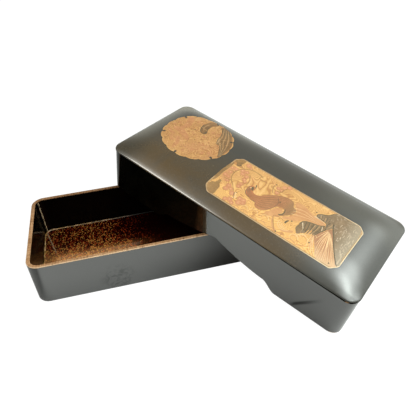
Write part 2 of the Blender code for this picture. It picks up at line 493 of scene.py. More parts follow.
worn_rim = rim_finish("worn_rim", (0.078, 0.036, 0.015), (0.235, 0.122, 0.054), (0.33, 0.195, 0.106))
# Painted highlight: paler tones for the rim's edge that faces out.
rim_highlight = rim_finish("rim_highlight", (0.16, 0.090, 0.048), (0.43, 0.285, 0.172), (0.52, 0.365, 0.235))
print("made", worn_rim.name, "and", rim_highlight.name)

# %% [markdown]
# ## The sprinkled floor
#
# The floor is black lacquer strewn with gold flakes and covered by a clear amber coat. Each flake catches
# the light by itself. Single flakes could be modelled, but there are tens of thousands of them. Voronoi
# cells stand for them: every cell gets its own random brightness, and finer cells break it up a little.
# The cells are a bit longer across the tray, so that they still show from a low angle. The flakes are
# painted darker towards the part under the lid, as painted shade, and brighter along the near side, as a
# painted sheen.

# %% Flakes
FLAKES = 950.0
FLAKE_SHAPE = (1.2, 0.72, 1.0)
FINE_FLAKES = 2100.0
FINE_SHARE = 0.08
SHADE_START = -60 * MM
SHADE_FULL = 5 * MM
UNSHADED, SHADED = 0.10, -0.34
NEAR_SIDE_SHEEN = 0.14

sprinkled_floor, shader = finish("sprinkled_floor", roughness=0.22, metallic=0.85, coat=0.6)
at = on_object(sprinkled_floor)
place = axes(sprinkled_floor, at)
stretched = add(sprinkled_floor, "ShaderNodeMapping", Vector=at, Scale=FLAKE_SHAPE)
flakes = add(sprinkled_floor, "ShaderNodeTexVoronoi", Vector=stretched.outputs[0], Scale=FLAKES)
fine = add(sprinkled_floor, "ShaderNodeTexVoronoi", Vector=at, Scale=FINE_FLAKES)
glow = axes(sprinkled_floor, flakes.outputs["Color"])[0]
fine_glow = axes(sprinkled_floor, fine.outputs["Color"])[0]
bright = maths(sprinkled_floor, "MULTIPLY", glow, 1 - FINE_SHARE)
bright = maths(sprinkled_floor, "MULTIPLY_ADD", fine_glow, FINE_SHARE, bright)
# Painted shade: the flakes darken towards the part under the lid.
floor_lid_shade = span(sprinkled_floor, place[0], SHADE_START, SHADE_FULL, UNSHADED, SHADED)
floor_lid_shade.node.interpolation_type = "LINEAR"
bright = maths(sprinkled_floor, "ADD", bright, floor_lid_shade)
# Painted sheen: the flakes brighten towards the near side.
near_sheen = span(sprinkled_floor, place[1], 24 * MM, 2 * MM)
bright = maths(sprinkled_floor, "MULTIPLY_ADD", near_sheen, NEAR_SIDE_SHEEN, bright)
print("flakes about", round(1 / FLAKES / MM, 1), "mm across")

# %% [markdown]
# ### The floor's tones
#
# The amber coat turns dim flakes red and bright ones gold, so one ramp from nearly black over red and
# amber to gold gives all of them their colour. A pale painted sheen lies over the near side, strongest at
# the open end, where a tan strip of painted sheen runs along the near edge. A helper makes such soft
# patches from two spans, one along and one across.

# %% Floor tones
FLOOR_DEEP = (0.030, 0.0012, 0.0002)
FLOOR_RED = (0.15, 0.008, 0.0008)
FLOOR_AMBER = (0.46, 0.042, 0.006)
FLOOR_GOLD = (0.80, 0.110, 0.022)
FLOOR_SPARK = (1.0, 0.47, 0.10)
FLOOR_SHEEN = (0.66, 0.29, 0.13)
FLOOR_STRIP_SHEEN = (0.72, 0.33, 0.090)
STRIP_SHARE = 0.45
LEAST_SHEEN, MOST_SHEEN = 0.03, 0.20


def patch(material, place, along, across, amount=1.0):
    """A soft patch, from nothing to the amount; both ways it starts and is full at a number of mm."""
    lengthwise = span(material, place[0], along[0] * MM, along[1] * MM, 0.0, amount)
    crosswise = span(material, place[1], across[0] * MM, across[1] * MM)
    return maths(material, "MULTIPLY", lengthwise, crosswise)


amber = ramp(
    sprinkled_floor, bright,
    (0.56, FLOOR_DEEP), (0.72, FLOOR_RED), (0.80, FLOOR_AMBER), (0.89, FLOOR_GOLD), (0.98, FLOOR_SPARK),
)
# Painted sheen: a pale haze along the near side and a tan strip by the near edge.
open_end = span(sprinkled_floor, place[0], -70 * MM, -110 * MM, LEAST_SHEEN, MOST_SHEEN)
amber = blend(sprinkled_floor, maths(sprinkled_floor, "MULTIPLY", near_sheen, open_end), amber, FLOOR_SHEEN)
near_sheen_strip = patch(sprinkled_floor, place, (0, -50), (11, 0))
near_sheen_strip = maths(sprinkled_floor, "MULTIPLY", near_sheen_strip, STRIP_SHARE)
amber = blend(sprinkled_floor, near_sheen_strip, amber, FLOOR_STRIP_SHEEN)
print("five tones, from", FLOOR_DEEP, "to", FLOOR_SPARK)

# %% [markdown]
# ### A painted reflection on the floor
#
# One long pale streak of painted reflection runs out of the far corner: the floor's mirror image of the
# painted highlight in that corner. It is too thin to be worth a shape. The finish measures how far each
# point is from the streak's line, and a noise breaks the line up.

# %% Painted reflection
REFLECTION_START = Vector((-118.5, 43.0, 0.0)) * MM
REFLECTION_ALONG = Vector((0.29, -0.957, 0.0))
REFLECTION_LENGTH = 38 * MM
REFLECTION_TONE = (0.66, 0.46, 0.28)
UPRIGHT = Vector((0.0, 0.0, 1.0))


def off_line(material, at, start, across):
    """How far a point is from a line through the start; the last vector points across the line."""
    away = add(material, "ShaderNodeVectorMath", i0=at, i1=start)
    away.operation = "SUBTRACT"
    away = add(material, "ShaderNodeVectorMath", i0=away.outputs[0], i1=across)
    away.operation = "DOT_PRODUCT"
    return maths(material, "ABSOLUTE", away.outputs["Value"])


# Painted reflection: a pale streak on the floor, the mirror image of the corner highlight.
from_line = off_line(sprinkled_floor, at, REFLECTION_START, REFLECTION_ALONG.cross(UPRIGHT))
broken = noise(sprinkled_floor, at, 300.0, 3.0, 0.8)
from_line = maths(sprinkled_floor, "MULTIPLY_ADD", broken, -1.2 * MM, from_line)
corner_reflection = span(sprinkled_floor, from_line, -0.40 * MM, 0.20 * MM, 1.0, 0.0)
reflection_end = REFLECTION_START.y - REFLECTION_LENGTH
fading = span(sprinkled_floor, place[1], reflection_end, reflection_end + 0.3 * REFLECTION_LENGTH)
corner_reflection = maths(sprinkled_floor, "MULTIPLY", corner_reflection, fading)
feed(sprinkled_floor, blend(sprinkled_floor, corner_reflection, amber, REFLECTION_TONE), shader, "Base Color")
print("corner_reflection", round(REFLECTION_LENGTH / MM), "mm long across the tray")

# %% [markdown]
# ## The tray
#
# The tray is four thin walls round a flat floor, with rounded corners. It could be built wall by wall,
# but then the corners would need joining. One closed skin is simpler: a flat face with rounded corners
# is extruded up for the outside, in for the rim, and down again to the floor. Each step of it is a
# rounded outline, inset by more or less.

# %% The tray's outlines
TRAY_LENGTH = tray_high.x - tray_low.x
TRAY_WIDTH = tray_high.y - tray_low.y
TRAY_HEIGHT = tray_high.z - tray_low.z
TRAY_FLOOR = 3.5 * MM
TRAY_CORNER = 11.2 * MM
SMALLEST_CORNER = 0.2 * MM


class Outline:
    """A rounded rectangle: its length, its width and the radius of its corners."""

    def __init__(self, length, width, corner):
        self.length = length
        self.width = width
        self.corner = corner

    def inset(self, by, corner=None):
        kept = max(self.corner - by, SMALLEST_CORNER) if corner is None else corner
        return Outline(self.length - 2 * by, self.width - 2 * by, kept)


tray_outside = Outline(TRAY_LENGTH, TRAY_WIDTH, TRAY_CORNER)
tray_inside = tray_outside.inset(TRAY_WALL)
print("tray inside", round(tray_inside.length / MM, 1), "x", round(tray_inside.width / MM, 1), "mm")

# %% [markdown]
# ### The first face
#
# The first face is a grid of one square, stretched to size, with its four corners bevelled and its
# straight sides cut into equal parts. Where each of its corners lies is kept in a layer named "plan",
# so each extruded copy can be put at its own inset. A second layer, "ring", numbers the outlines, so the
# right edges can be rounded at the end.

# %% The tray's first face
def first_outline(bm, outline, corner_steps, long_parts, short_parts):
    """A flat face of this outline, its straight sides cut into equal parts."""
    bmesh.ops.create_grid(bm, x_segments=1, y_segments=1, size=0.5)
    bmesh.ops.scale(bm, verts=bm.verts, vec=(outline.length, outline.width, 1.0))
    bmesh.ops.bevel(
        bm, geom=bm.verts[:], offset=outline.corner, offset_type="OFFSET", segments=corner_steps,
        profile=0.5, affect="VERTICES", material=-1,
    )
    straight = [edge for edge in bm.edges if edge.calc_length() > 2 * outline.corner]
    long_ones = [edge for edge in straight if edge.calc_length() > outline.width]
    short_ones = [edge for edge in straight if edge not in long_ones]
    bmesh.ops.bisect_edges(bm, edges=long_ones, cuts=long_parts - 1)
    bmesh.ops.bisect_edges(bm, edges=short_ones, cuts=short_parts - 1)
    plan = bm.verts.layers.float_vector.new("plan")
    bm.verts.layers.int.new("ring")
    for vert in bm.verts:
        vert[plan] = vert.co
    return bm.faces[:][0]


bm = bmesh.new()
cap = first_outline(bm, tray_outside, corner_steps=14, long_parts=90, short_parts=36)
print("the first face has", len(cap.verts), "corners")

# %% [markdown]
# ### Extruding the outlines
#
# Every step extrudes the cap once and moves the copy to its own outline and height. STAY is a short step
# beside each edge that will be rounded, which keeps the rounding from running out over the flat walls.

# %% Extrude the tray
STAY = 1.6 * MM


def fitted(point, first, now):
    """Where a point of the first outline lies on another one."""
    places = []
    for value, first_side, now_side in (
        (point.x, first.length, now.length), (point.y, first.width, now.width),
    ):
        first_straight = first_side / 2 - first.corner
        straight = min(abs(value), first_straight) / first_straight * (now_side / 2 - now.corner)
        rounded = max(abs(value) - first_straight, 0.0) / first.corner * now.corner
        places.append(math.copysign(straight + rounded, value))
    return places


def next_outline(bm, cap, first, now, height, number):
    """Extrudes the cap once and puts its outline in place; the height may depend on where it is."""
    plan = bm.verts.layers.float_vector["plan"]
    ring = bm.verts.layers.int["ring"]
    grown = bmesh.ops.extrude_face_region(bm, geom=[cap])["geom"]
    if number > 1:
        bmesh.ops.delete(bm, geom=[cap], context="FACES_ONLY")
    cap = next(item for item in grown if isinstance(item, bmesh.types.BMFace))
    for vert in cap.verts:
        x, y = fitted(vert[plan], first, now)
        vert.co = (x, y, height(x, y) if callable(height) else height)
        vert[ring] = number
    return cap


tray_steps = [
    (tray_outside.inset(2 * STAY), 0.0),
    (tray_outside, 0.0),
    (tray_outside, 2 * STAY),
    (tray_outside, TRAY_HEIGHT - STAY),
    (tray_outside, TRAY_HEIGHT),
    (tray_inside, TRAY_HEIGHT),
    (tray_inside, TRAY_HEIGHT - STAY),
    (tray_inside, TRAY_FLOOR + 2 * STAY),
    (tray_inside, TRAY_FLOOR),
    (tray_inside.inset(2 * STAY), TRAY_FLOOR),
]
for vert in bm.verts:
    vert.co.x, vert.co.y = fitted(vert.co, tray_outside, tray_steps[0][0])
for number, (outline, height) in enumerate(tray_steps[1:], 1):
    cap = next_outline(bm, cap, tray_outside, outline, height, number)
print("tray skin", len(bm.faces), "faces")

# %% [markdown]
# ### Rounding the edges
#
# Real lacquered edges are never sharp. Four of the outlines are rounded: the foot, both edges of the rim
# and the joint with the floor. Then the faces are all turned outwards.

# %% Round the tray's edges
TRAY_EDGES = [
    # number of the outline, radius, segments
    (1, 1.5 * MM, 5),
    (4, 0.8 * MM, 4),
    (5, 0.8 * MM, 4),
    (8, 1.2 * MM, 5),
]


def round_ring(bm, number, radius, segments):
    """Rounds the edges that run round one outline."""
    ring = bm.verts.layers.int["ring"]
    edges = [edge for edge in bm.edges if all(vert[ring] == number for vert in edge.verts)]
    bmesh.ops.bevel(
        bm, geom=edges, offset=radius, offset_type="OFFSET", segments=segments, profile=0.5,
        affect="EDGES", material=-1, clamp_overlap=True,
    )


for number, radius, segments in TRAY_EDGES:
    round_ring(bm, number, radius, segments)
bmesh.ops.recalc_face_normals(bm, faces=bm.faces)
print("rounded:", len(bm.faces), "faces, open edges:", sum(edge.is_boundary for edge in bm.edges))

# %% [markdown]
# ### The tray's finishes
#
# The skin is one piece with six finishes. It could be cut into six pieces, but then their edges would have
# to meet. Each face gets its finish by where it is: the rim is all that is close under the top, and where
# it faces out it gets the paler finish of painted highlight, the floor is what lies low inside, with the
# joint round it, and the rest is outside or inside wall.

# %% The tray's finishes
RIM_BAND = 0.75 * MM
JOINT_LOW = 0.08 * MM
JOINT_HIGH = 0.9 * MM
FLOOR_BAND = 0.5 * MM
A_LITTLE = 0.1 * MM
OUTWARD = 0.2
OUTSIDE, RIM, INNER_WALL, FLOOR, JOINT, RIM_HIGHLIGHT = range(6)


def to_piece(bm, name, materials, sharp=35):
    """Turns a finished bmesh into an object at the origin."""
    mesh = bpy.data.meshes.new(name)
    bm.to_mesh(mesh)
    bm.free()
    for material in materials:
        mesh.materials.append(material)
    mesh.shade_smooth()
    mesh.set_sharp_from_angle(angle=math.radians(sharp))
    piece = bpy.data.objects.new(name, mesh)
    bpy.context.collection.objects.link(piece)
    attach(piece, "root")
    print(name, len(mesh.polygons), "faces")
    return piece


for face in bm.faces:
    middle = face.calc_center_median()
    within_length = abs(middle.x) < tray_inside.length / 2 + A_LITTLE
    within = within_length and abs(middle.y) < tray_inside.width / 2 + A_LITTLE
    turned_out = face.normal.x * middle.x + face.normal.y * middle.y
    if middle.z > TRAY_HEIGHT - RIM_BAND:
        face.material_index = RIM_HIGHLIGHT if turned_out > OUTWARD * middle.xy.length * face.normal.z else RIM
    elif within and JOINT_LOW < middle.z - TRAY_FLOOR < JOINT_HIGH:
        face.material_index = JOINT
    elif within and 0.5 * TRAY_FLOOR < middle.z < TRAY_FLOOR + FLOOR_BAND:
        face.material_index = FLOOR
    elif within and middle.z > TRAY_FLOOR:
        face.material_index = INNER_WALL
    else:
        face.material_index = OUTSIDE
tray = to_piece(
    bm, "tray_shell", [outside_lacquer, worn_rim, highlit_inner_wall, sprinkled_floor, joint_highlight_and_shade, rim_highlight],
)
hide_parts("tray")

# %% [markdown]
# ## The lid
#
# The lid is made lying flat with its middle at the origin, in the same way: one skin from the ceiling
# down the inner wall, round the lower edge, up the outer wall, over a small lip and in over the dome.
# It is longer and wider than the tray by its own walls and a little play.
#
# The **dome** is a pillow, given as a height that depends on the place. From each side it rises quickly
# and flattens out, and the two rises are multiplied, which gives the soft diagonal ridges at the corners.

# %% The lid's dome
LID_PLAY = 0.5 * MM
LID_WALL = 3.5 * MM
LID_SIDE = 44.6 * MM
LID_CORNER = 9.5 * MM
LIP_OUT = 0.5 * MM
LIP_HEIGHT = 1.2 * MM
DOME_RISE = 9.5 * MM
DOME_SHOULDER = 35 * MM
DOME_POWER = 2.5
TOP_THICK = 3.2 * MM

lid_outside = Outline(
    TRAY_LENGTH + 2 * (LID_PLAY + LID_WALL), TRAY_WIDTH + 2 * (LID_PLAY + LID_WALL), LID_CORNER,
)


def shoulder(distance):
    return 1 - (1 - min(max(distance, 0.0) / DOME_SHOULDER, 1.0)) ** DOME_POWER


def dome(x, y):
    """How far the top stands above the lip."""
    from_end = lid_outside.length / 2 + LIP_OUT - abs(x)
    from_side = lid_outside.width / 2 + LIP_OUT - abs(y)
    return DOME_RISE * shoulder(from_end) * shoulder(from_side)


def lid_top(x, y):
    """The height of the lid's top over its lower edge."""
    return LID_SIDE + LIP_HEIGHT + dome(x, y)


print("lid", round(lid_outside.length / MM, 1), "x", round(lid_outside.width / MM, 1), "mm")
print("lid's middle is", round(lid_top(0.0, 0.0) / MM, 1), "mm high")

# %% [markdown]
# ### The finger notch
#
# The **finger notch** in each long side lets a thumb hold the tray while the lid is lifted. It is a quick
# step and then a low pointed arch. A hole cut with a Boolean would leave ragged faces. Giving the lower
# edge a height of its own, the same way as the dome, keeps the skin even.

# %% The finger notch
NOTCH_LENGTH = 134 * MM
NOTCH_STEP = 8.5 * MM
NOTCH_RUN = 14 * MM
NOTCH_PEAK = 19.7 * MM
ARCH_POWER = 1.6


def notch(x, y):
    """The height of the lower edge: zero but for the notch in each long side."""
    from_middle = abs(x)
    on_long_side = abs(y) >= lid_outside.width / 2 - LID_WALL - A_LITTLE
    if not on_long_side or from_middle > NOTCH_LENGTH / 2:
        return 0.0
    if from_middle > NOTCH_LENGTH / 2 - NOTCH_RUN:
        share = (NOTCH_LENGTH / 2 - from_middle) / NOTCH_RUN
        return NOTCH_STEP * share * share * (3 - 2 * share)
    share = 1 - from_middle / (NOTCH_LENGTH / 2 - NOTCH_RUN)
    return NOTCH_STEP + (NOTCH_PEAK - NOTCH_STEP) * share**ARCH_POWER


print("the notch is", round(notch(0.0, lid_outside.width / 2) / MM, 1), "mm high in its middle")

# %% [markdown]
# ### The lid's outlines
#
# The outlines are listed from the ceiling to the crown. Over the dome they lie closer together near the
# edge, where it bends most. Just under the lip runs the open seam, which is a narrow band of faces of its
# own, so that it can get its own near-black finish of painted shade.

# %% The lid's outlines
DOME_RINGS = 22
RINGS_CLOSER = 1.3
SEAM_START = -12 * MM
SEAM_THIN = 0.25 * MM
SEAM_FULL = 1.7 * MM
INNERMOST_CORNER = 3.3 * MM
CROWN_START = 0.8 * MM
CROWN_CORNER = LID_CORNER - 0.5 * MM

lid_inside = lid_outside.inset(LID_WALL)
lip_outline = Outline(
    lid_outside.length + 2 * LIP_OUT, lid_outside.width + 2 * LIP_OUT, LID_CORNER + LIP_OUT,
)
flat_inset = DOME_SHOULDER - LIP_OUT
ceiling_drop = TOP_THICK + LIP_HEIGHT


def dome_steps(start, start_corner, height):
    """Outlines from an inset in to the flat of the dome, closer together near the edge."""
    steps = []
    for index in range(DOME_RINGS + 1):
        share = (index / DOME_RINGS) ** RINGS_CLOSER
        corner = start_corner + (INNERMOST_CORNER - start_corner) * share
        steps.append((lid_outside.inset(start + (flat_inset - start) * share, corner), height))
    return steps


def seam_depth(x):
    """The dark seam under the lip opens from almost nothing to its full depth at the standing end."""
    open_share = min(max((x - SEAM_START) / (lid_outside.length / 2 - SEAM_START), 0.0), 1.0)
    return SEAM_THIN + (SEAM_FULL - SEAM_THIN) * open_share


ceiling = dome_steps(LID_WALL, LID_CORNER - LID_WALL, lambda x, y: lid_top(x, y) - TOP_THICK)[::-1]
walls = [
    (lid_inside, LID_SIDE - ceiling_drop),
    (lid_inside, lambda x, y: notch(x, y) + STAY),
    (lid_inside, notch),
    (lid_outside, notch),
    (lid_outside, lambda x, y: notch(x, y) + STAY),
    (lid_outside, lambda x, y: LID_SIDE - seam_depth(x)),
    (lid_outside, LID_SIDE),
    (lip_outline, LID_SIDE),
    (lip_outline, LID_SIDE + LIP_HEIGHT),
]
crown = dome_steps(CROWN_START, CROWN_CORNER, lid_top)
lid_steps = ceiling + walls + crown
print("the lid has", len(lid_steps), "outlines")

# %% [markdown]
# ### The lid's skin
#
# The same helpers as for the tray extrude the lid through its outlines and round its edges. The lower
# edge gets finer steps outside, where it shows, than inside, and the lip is rounded above and below.

# %% The lid's skin
INNER_EDGE = len(ceiling) + 2
LIP_EDGE = len(ceiling) + 8
LID_EDGES = [
    # number of the outline, radius, segments
    (INNER_EDGE, 0.5 * MM, 2),
    (INNER_EDGE + 1, 0.5 * MM, 3),
    (LIP_EDGE - 1, 0.2 * MM, 2),
    (LIP_EDGE, 0.55 * MM, 4),
]

bm = bmesh.new()
cap = first_outline(bm, lid_outside, corner_steps=12, long_parts=160, short_parts=40)
for vert in bm.verts:
    x, y = fitted(vert.co, lid_outside, lid_steps[0][0])
    vert.co = (x, y, lid_steps[0][1](x, y))
for number, (outline, height) in enumerate(lid_steps[1:], 1):
    cap = next_outline(bm, cap, lid_outside, outline, height, number)
for number, radius, segments in LID_EDGES:
    round_ring(bm, number, radius, segments)
bmesh.ops.recalc_face_normals(bm, faces=bm.faces)
print("lid skin", len(bm.faces), "faces, open edges:", sum(edge.is_boundary for edge in bm.edges))

# %% [markdown]
# ### Where the lid lies
#
# One end of the lid stands on the table, past the tray's end and in front of it, and its notches sit on
# the tray's rim. The finished mesh is turned and moved there as a whole. A pattern that follows the lid
# reads Object coordinates through a Mapping node, which turns them back to the lid lying flat.

# %% Put the lid in its place
LID_FOOT = Vector((tray_high.x + 33.1 * MM, tray_low.y - 68.2 * MM, 0.0))
LID_TURN = Euler((0.0, math.radians(11.6976), math.radians(-51.75)))
lid_pose = (
    Matrix.Translation(LID_FOOT)
    @ LID_TURN.to_matrix().to_4x4()
    @ Matrix.Translation((-lid_outside.length / 2, 0.0, 0.0))
)
lid_middle = lid_pose.to_translation()


def on_lid(material):
    """Coordinates of the lid lying flat with its middle at the origin, in metres."""
    mapping = add(material, "ShaderNodeMapping", Vector=on_object(material))
    mapping.vector_type = "TEXTURE"
    mapping.inputs["Location"].default_value = lid_middle
    mapping.inputs["Rotation"].default_value = LID_TURN
    return mapping.outputs[0]


print("lid's middle stands at", [round(part / MM, 1) for part in lid_middle], "mm")

# %% [markdown]
# ### The faded top: its colour
#
# The top is browner and more worn than the walls: from its middle to the raised end, and most on the near
# side, its black has faded to a dark umber. A painted picture of the wear would be tied to one lid. Here
# soft spans along and across the lid say where it has faded, and a cloudy noise breaks up their edges.

# %% Faded top: colour
FADED_BLACK = (0.013, 0.0135, 0.0085)
FADED_UMBER = (0.055, 0.031, 0.006)
LEAST_FADED = 0.60
CLOUDS_COUNT = 0.7

faded_top, shader = finish("faded_top", coat_roughness=0.10)
at = on_lid(faded_top)
place = axes(faded_top, at)
clouds = noise(faded_top, at, 22.0, 6.0, 0.62, 0.8)
patchy = ramp(faded_top, clouds, (0.34, OFF), (0.74, ON))
to_end = span(faded_top, place[0], 44 * MM, 95 * MM, 1.0, 0.0)
to_side = span(faded_top, place[1], -50 * MM, 20 * MM, 1.0, 0.12)
faded = maths(faded_top, "MULTIPLY", to_end, to_side)
cloudy = maths(faded_top, "MULTIPLY_ADD", patchy, CLOUDS_COUNT, LEAST_FADED)
faded = maths(faded_top, "MULTIPLY", faded, cloudy, clamp=True)
from_left = span(faded_top, place[0], -118 * MM, -88 * MM, 0.35, 1.0)
umber = maths(faded_top, "MULTIPLY", faded, from_left)
colour = blend(faded_top, umber, FADED_BLACK, FADED_UMBER)
print("the top fades from", FADED_BLACK, "to", FADED_UMBER)

# %% [markdown]
# ### The faded top: dust, a painted highlight and the worn lip
#
# Fine specks of dust lie all over, and a few soft patches near the edges are lightened towards a pale
# grey. The patch on the far shoulder is a painted highlight. Along the far lip the lacquer is worn to a
# pale brown.

# %% Faded top: dust, painted highlight and worn lip
DUST_AND_HIGHLIGHT_GREY = (0.30, 0.28, 0.22)
SPECKS_OF_DUST = 0.05
WORN_LIP = (0.15, 0.095, 0.065)
LIP_WEAR = 0.45
PALE_PATCHES = [
    # along the lid and across it: where the area starts and where it is full; then how strong it is
    ((-104, -123), (-46, -12), 0.22),
    ((-112, -123), (-5, 38), 0.10),
    ((-8, -50), (33, 46), 0.20),
    ((30, 80), (5, 30), 0.09),
]

specks = noise(faded_top, at, 700.0, 2.0, 0.7)
dusty = maths(faded_top, "MULTIPLY", span(faded_top, specks, 0.50, 0.75), SPECKS_OF_DUST)
# The specks are dust; of the pale patches, the one on the far shoulder is a painted highlight.
for along, across, amount in PALE_PATCHES:
    dusty = maths(faded_top, "ADD", dusty, patch(faded_top, place, along, across, amount))
colour = blend(faded_top, dusty, colour, DUST_AND_HIGHLIGHT_GREY)
far_lip = span(faded_top, place[1], 52.5 * MM, 54.0 * MM, 0.0, LIP_WEAR)
feed(faded_top, blend(faded_top, far_lip, colour, WORN_LIP), shader, "Base Color")
print(len(PALE_PATCHES), "dusty areas")

# %% [markdown]
# ### The faded top: its polish
#
# Where the top has faded, it has lost its gloss too, and the highlights spread out softly. The clear coat
# is weaker there, and weaker in a few patches by the edges. It stays whole along the near edge of the left
# half, where a bright line shows in the polish.

# %% Faded top: polish
SATIN = 0.78
NEAR_LEFT = ((-84, -114), (-26, -44), 0.34)
FAR_EDGE = ((-30, 5), (46.5, 51.0), 0.50)
END_EDGES = [
    ((115, 122), (-34, -43), 0.50),
    ((96, 108), (-49, -51.5), 0.32),
]

satin = maths(faded_top, "MULTIPLY_ADD", faded, SATIN, patch(faded_top, place, *NEAR_LEFT))
off_near_edge = span(faded_top, place[1], -54.4 * MM, -51.0 * MM)
right_half = span(faded_top, place[0], -20 * MM, 10 * MM)
off_bright_line = maths(faded_top, "MAXIMUM", off_near_edge, right_half)
far_edge = patch(faded_top, place, *FAR_EDGE)
satin = maths(faded_top, "MULTIPLY_ADD", satin, off_bright_line, far_edge)
for along, across, amount in END_EDGES:
    satin = maths(faded_top, "ADD", satin, patch(faded_top, place, along, across, amount))
feed(faded_top, maths(faded_top, "SUBTRACT", 1.0, satin, clamp=True), shader, "Coat Weight")
rubbed = noise(faded_top, at, 140.0, 4.0, 0.6)
dull = maths(faded_top, "MULTIPLY_ADD", patchy, 0.05, 0.13)
feed(faded_top, maths(faded_top, "MULTIPLY_ADD", rubbed, 0.05, dull), shader, "Roughness")
relief(faded_top, shader, rubbed, CLOUD_RELIEF)
print("the coat is weaker by up to", SATIN)

# %% [markdown]
# ### The lid's wall
#
# The lid's near wall hangs over the tray. There it mirrors the dark hollow and the room's dark side, and
# shows deep black, while past the tray's rim it mirrors the white table. The sky here is pale all round,
# so the black has to be kept by the finish: over the tray a ramp along the lid masks the coat to almost
# nothing. Only the near wall is masked, so a second mask goes across the lid.

# %% Lid wall: what it mirrors
OVER_TRAY = (0.02, 0.02, 0.02)
NEAR_RIM = (0.05, 0.05, 0.05)

lid_wall, shader, _ = black_lacquer("lid_wall", 0.05, 0.13, LACQUER_CLOUD, gloss=0.0)
shader.inputs["Coat IOR"].default_value = 1.83
at = on_lid(lid_wall)
place = axes(lid_wall, at)
share = span(lid_wall, place[0], -lid_outside.length / 2, lid_outside.length / 2)
share.node.interpolation_type = "LINEAR"
polish = ramp(
    lid_wall, share,
    (0.02, ON), (0.06, OVER_TRAY), (0.26, OVER_TRAY), (0.41, NEAR_RIM), (0.461, ON),
)
near_wall = span(lid_wall, place[1], -5 * MM, -45 * MM)
polish = blend(lid_wall, near_wall, ON, polish)
print("over the tray the coat keeps", OVER_TRAY[0], "of its weight")

# %% [markdown]
# ### A smudge on the lid's wall
#
# A hand has left one slanting smudge near the standing end. Like the scratch on the floor it is a line
# that the finish measures its distance from, only broad and soft, and it weakens the coat.

# %% Lid wall: smudge
SMUDGE_START = Vector((84.0, 0.0, 3.2)) * MM
SMUDGE_ACROSS = Vector((0.777, 0.0, -0.629))
SMUDGE_DULLS = 0.72
SMUDGE_ENDS = [
    # along the lid: from, to, and the shares there
    (81, 87, 0.0, 1.0),
    (89, 108, 1.0, 0.0),
]

from_line = off_line(lid_wall, at, SMUDGE_START, SMUDGE_ACROSS)
smudge = span(lid_wall, from_line, 0.4 * MM, 2.6 * MM, SMUDGE_DULLS, 0.0)
for start, end, first, last in SMUDGE_ENDS:
    fading = span(lid_wall, place[0], start * MM, end * MM, first, last)
    smudge = maths(lid_wall, "MULTIPLY", smudge, fading)
clear = maths(lid_wall, "SUBTRACT", 1.0, maths(lid_wall, "MULTIPLY", smudge, near_wall))
feed(lid_wall, maths(lid_wall, "MULTIPLY", clear, polish), shader, "Coat Weight")
print("the smudge takes", SMUDGE_DULLS, "of the coat away")

# %% [markdown]
# ### Painted reflection and a chip on the lid's wall
#
# Past the tray's rim the middle of the near wall is painted a little grey, as the painted reflection of
# the white table, and this thins out towards the standing end, where the bottom corner is chipped to the
# tan ground. The chip is all that lies within a few millimetres of the corner and close to the lower edge,
# made ragged by a fine noise.

# %% Lid wall: painted reflection and chip
TAN_GROUND = (0.24, 0.135, 0.065)
WALL_REFLECTION_GREY = (0.021, 0.021, 0.0165)
THINNER_REFLECTION = (0.4, 0.4, 0.4)
CORNER_CHIP = Vector((122.0, -53.0, 0.0)) * MM

black = shader.inputs["Base Color"].links[0].from_socket
# Painted reflection: the near wall past the tray's rim is painted a little grey.
table_reflection = ramp(lid_wall, share, (0.44, OFF), (0.46, ON), (0.60, THINNER_REFLECTION), (0.78, OFF))
colour = blend(lid_wall, maths(lid_wall, "MULTIPLY", table_reflection, near_wall), black, WALL_REFLECTION_GREY)
grit = noise(lid_wall, at, 500.0, 3.0, 0.7)
chipped = maths(lid_wall, "MULTIPLY_ADD", grit, 3.0 * MM, reach(lid_wall, at, CORNER_CHIP))
chipped = span(lid_wall, chipped, 3.4 * MM, 5.0 * MM, 1.0, 0.0)
low_edge = span(lid_wall, place[2], 0.7 * MM, 1.3 * MM, 1.0, 0.0)
chipped = maths(lid_wall, "MULTIPLY", chipped, low_edge)
feed(lid_wall, blend(lid_wall, chipped, colour, TAN_GROUND), shader, "Base Color")
print("chip at", [round(part / MM, 1) for part in CORNER_CHIP], "mm on the lid")

# %% [markdown]
# ### The open seam
#
# Under the lip the joint between top and wall has opened into a seam. Its band of faces lies flush with
# the wall and is painted near black with no highlights at all, as painted shade in the gap. At its end a
# bit has chipped off to the tan ground.

# %% Open seam
SEAM_SHADE = (0.004, 0.0030, 0.0020)
SEAM_SHADE_LIGHTER = (0.012, 0.009, 0.006)
SEAM_CHIP = Vector((120.2, -53.6, 43.6)) * MM

seam, shader = finish("open_seam", roughness=0.9)
shader.inputs["Specular IOR Level"].default_value = 0.0
at = on_lid(seam)
seam_mottle = noise(seam, at, 300.0, 3.0)
chip = maths(seam, "MULTIPLY_ADD", seam_mottle, 2.0 * MM, reach(seam, at, SEAM_CHIP))
chip = span(seam, chip, 2.2 * MM, 3.2 * MM, 1.0, 0.0)
# Painted shade: the seam's band is near black with no highlights, standing in for the shade in the gap.
shaded_seam = ramp(seam, seam_mottle, (0.3, SEAM_SHADE), (0.8, SEAM_SHADE_LIGHTER))
feed(seam, blend(seam, chip, shaded_seam, TAN_GROUND), shader, "Base Color")
print("the seam opens to", round(seam_depth(lid_outside.length / 2) / MM, 2), "mm")

# %% [markdown]
# ### The lid as one piece
#
# As on the tray, each face gets its finish by where it is: the seam, the top over the lip, the outer wall
# and all the inside. Then the whole mesh is turned and moved to where the lid leans.

# %% The lid's piece
TOP_BAND = 0.45 * MM
SEAM_BAND = 0.5 * MM
LID_WALL_FACE, LID_TOP_FACE, LID_INSIDE_FACE, LID_SEAM_FACE = range(4)

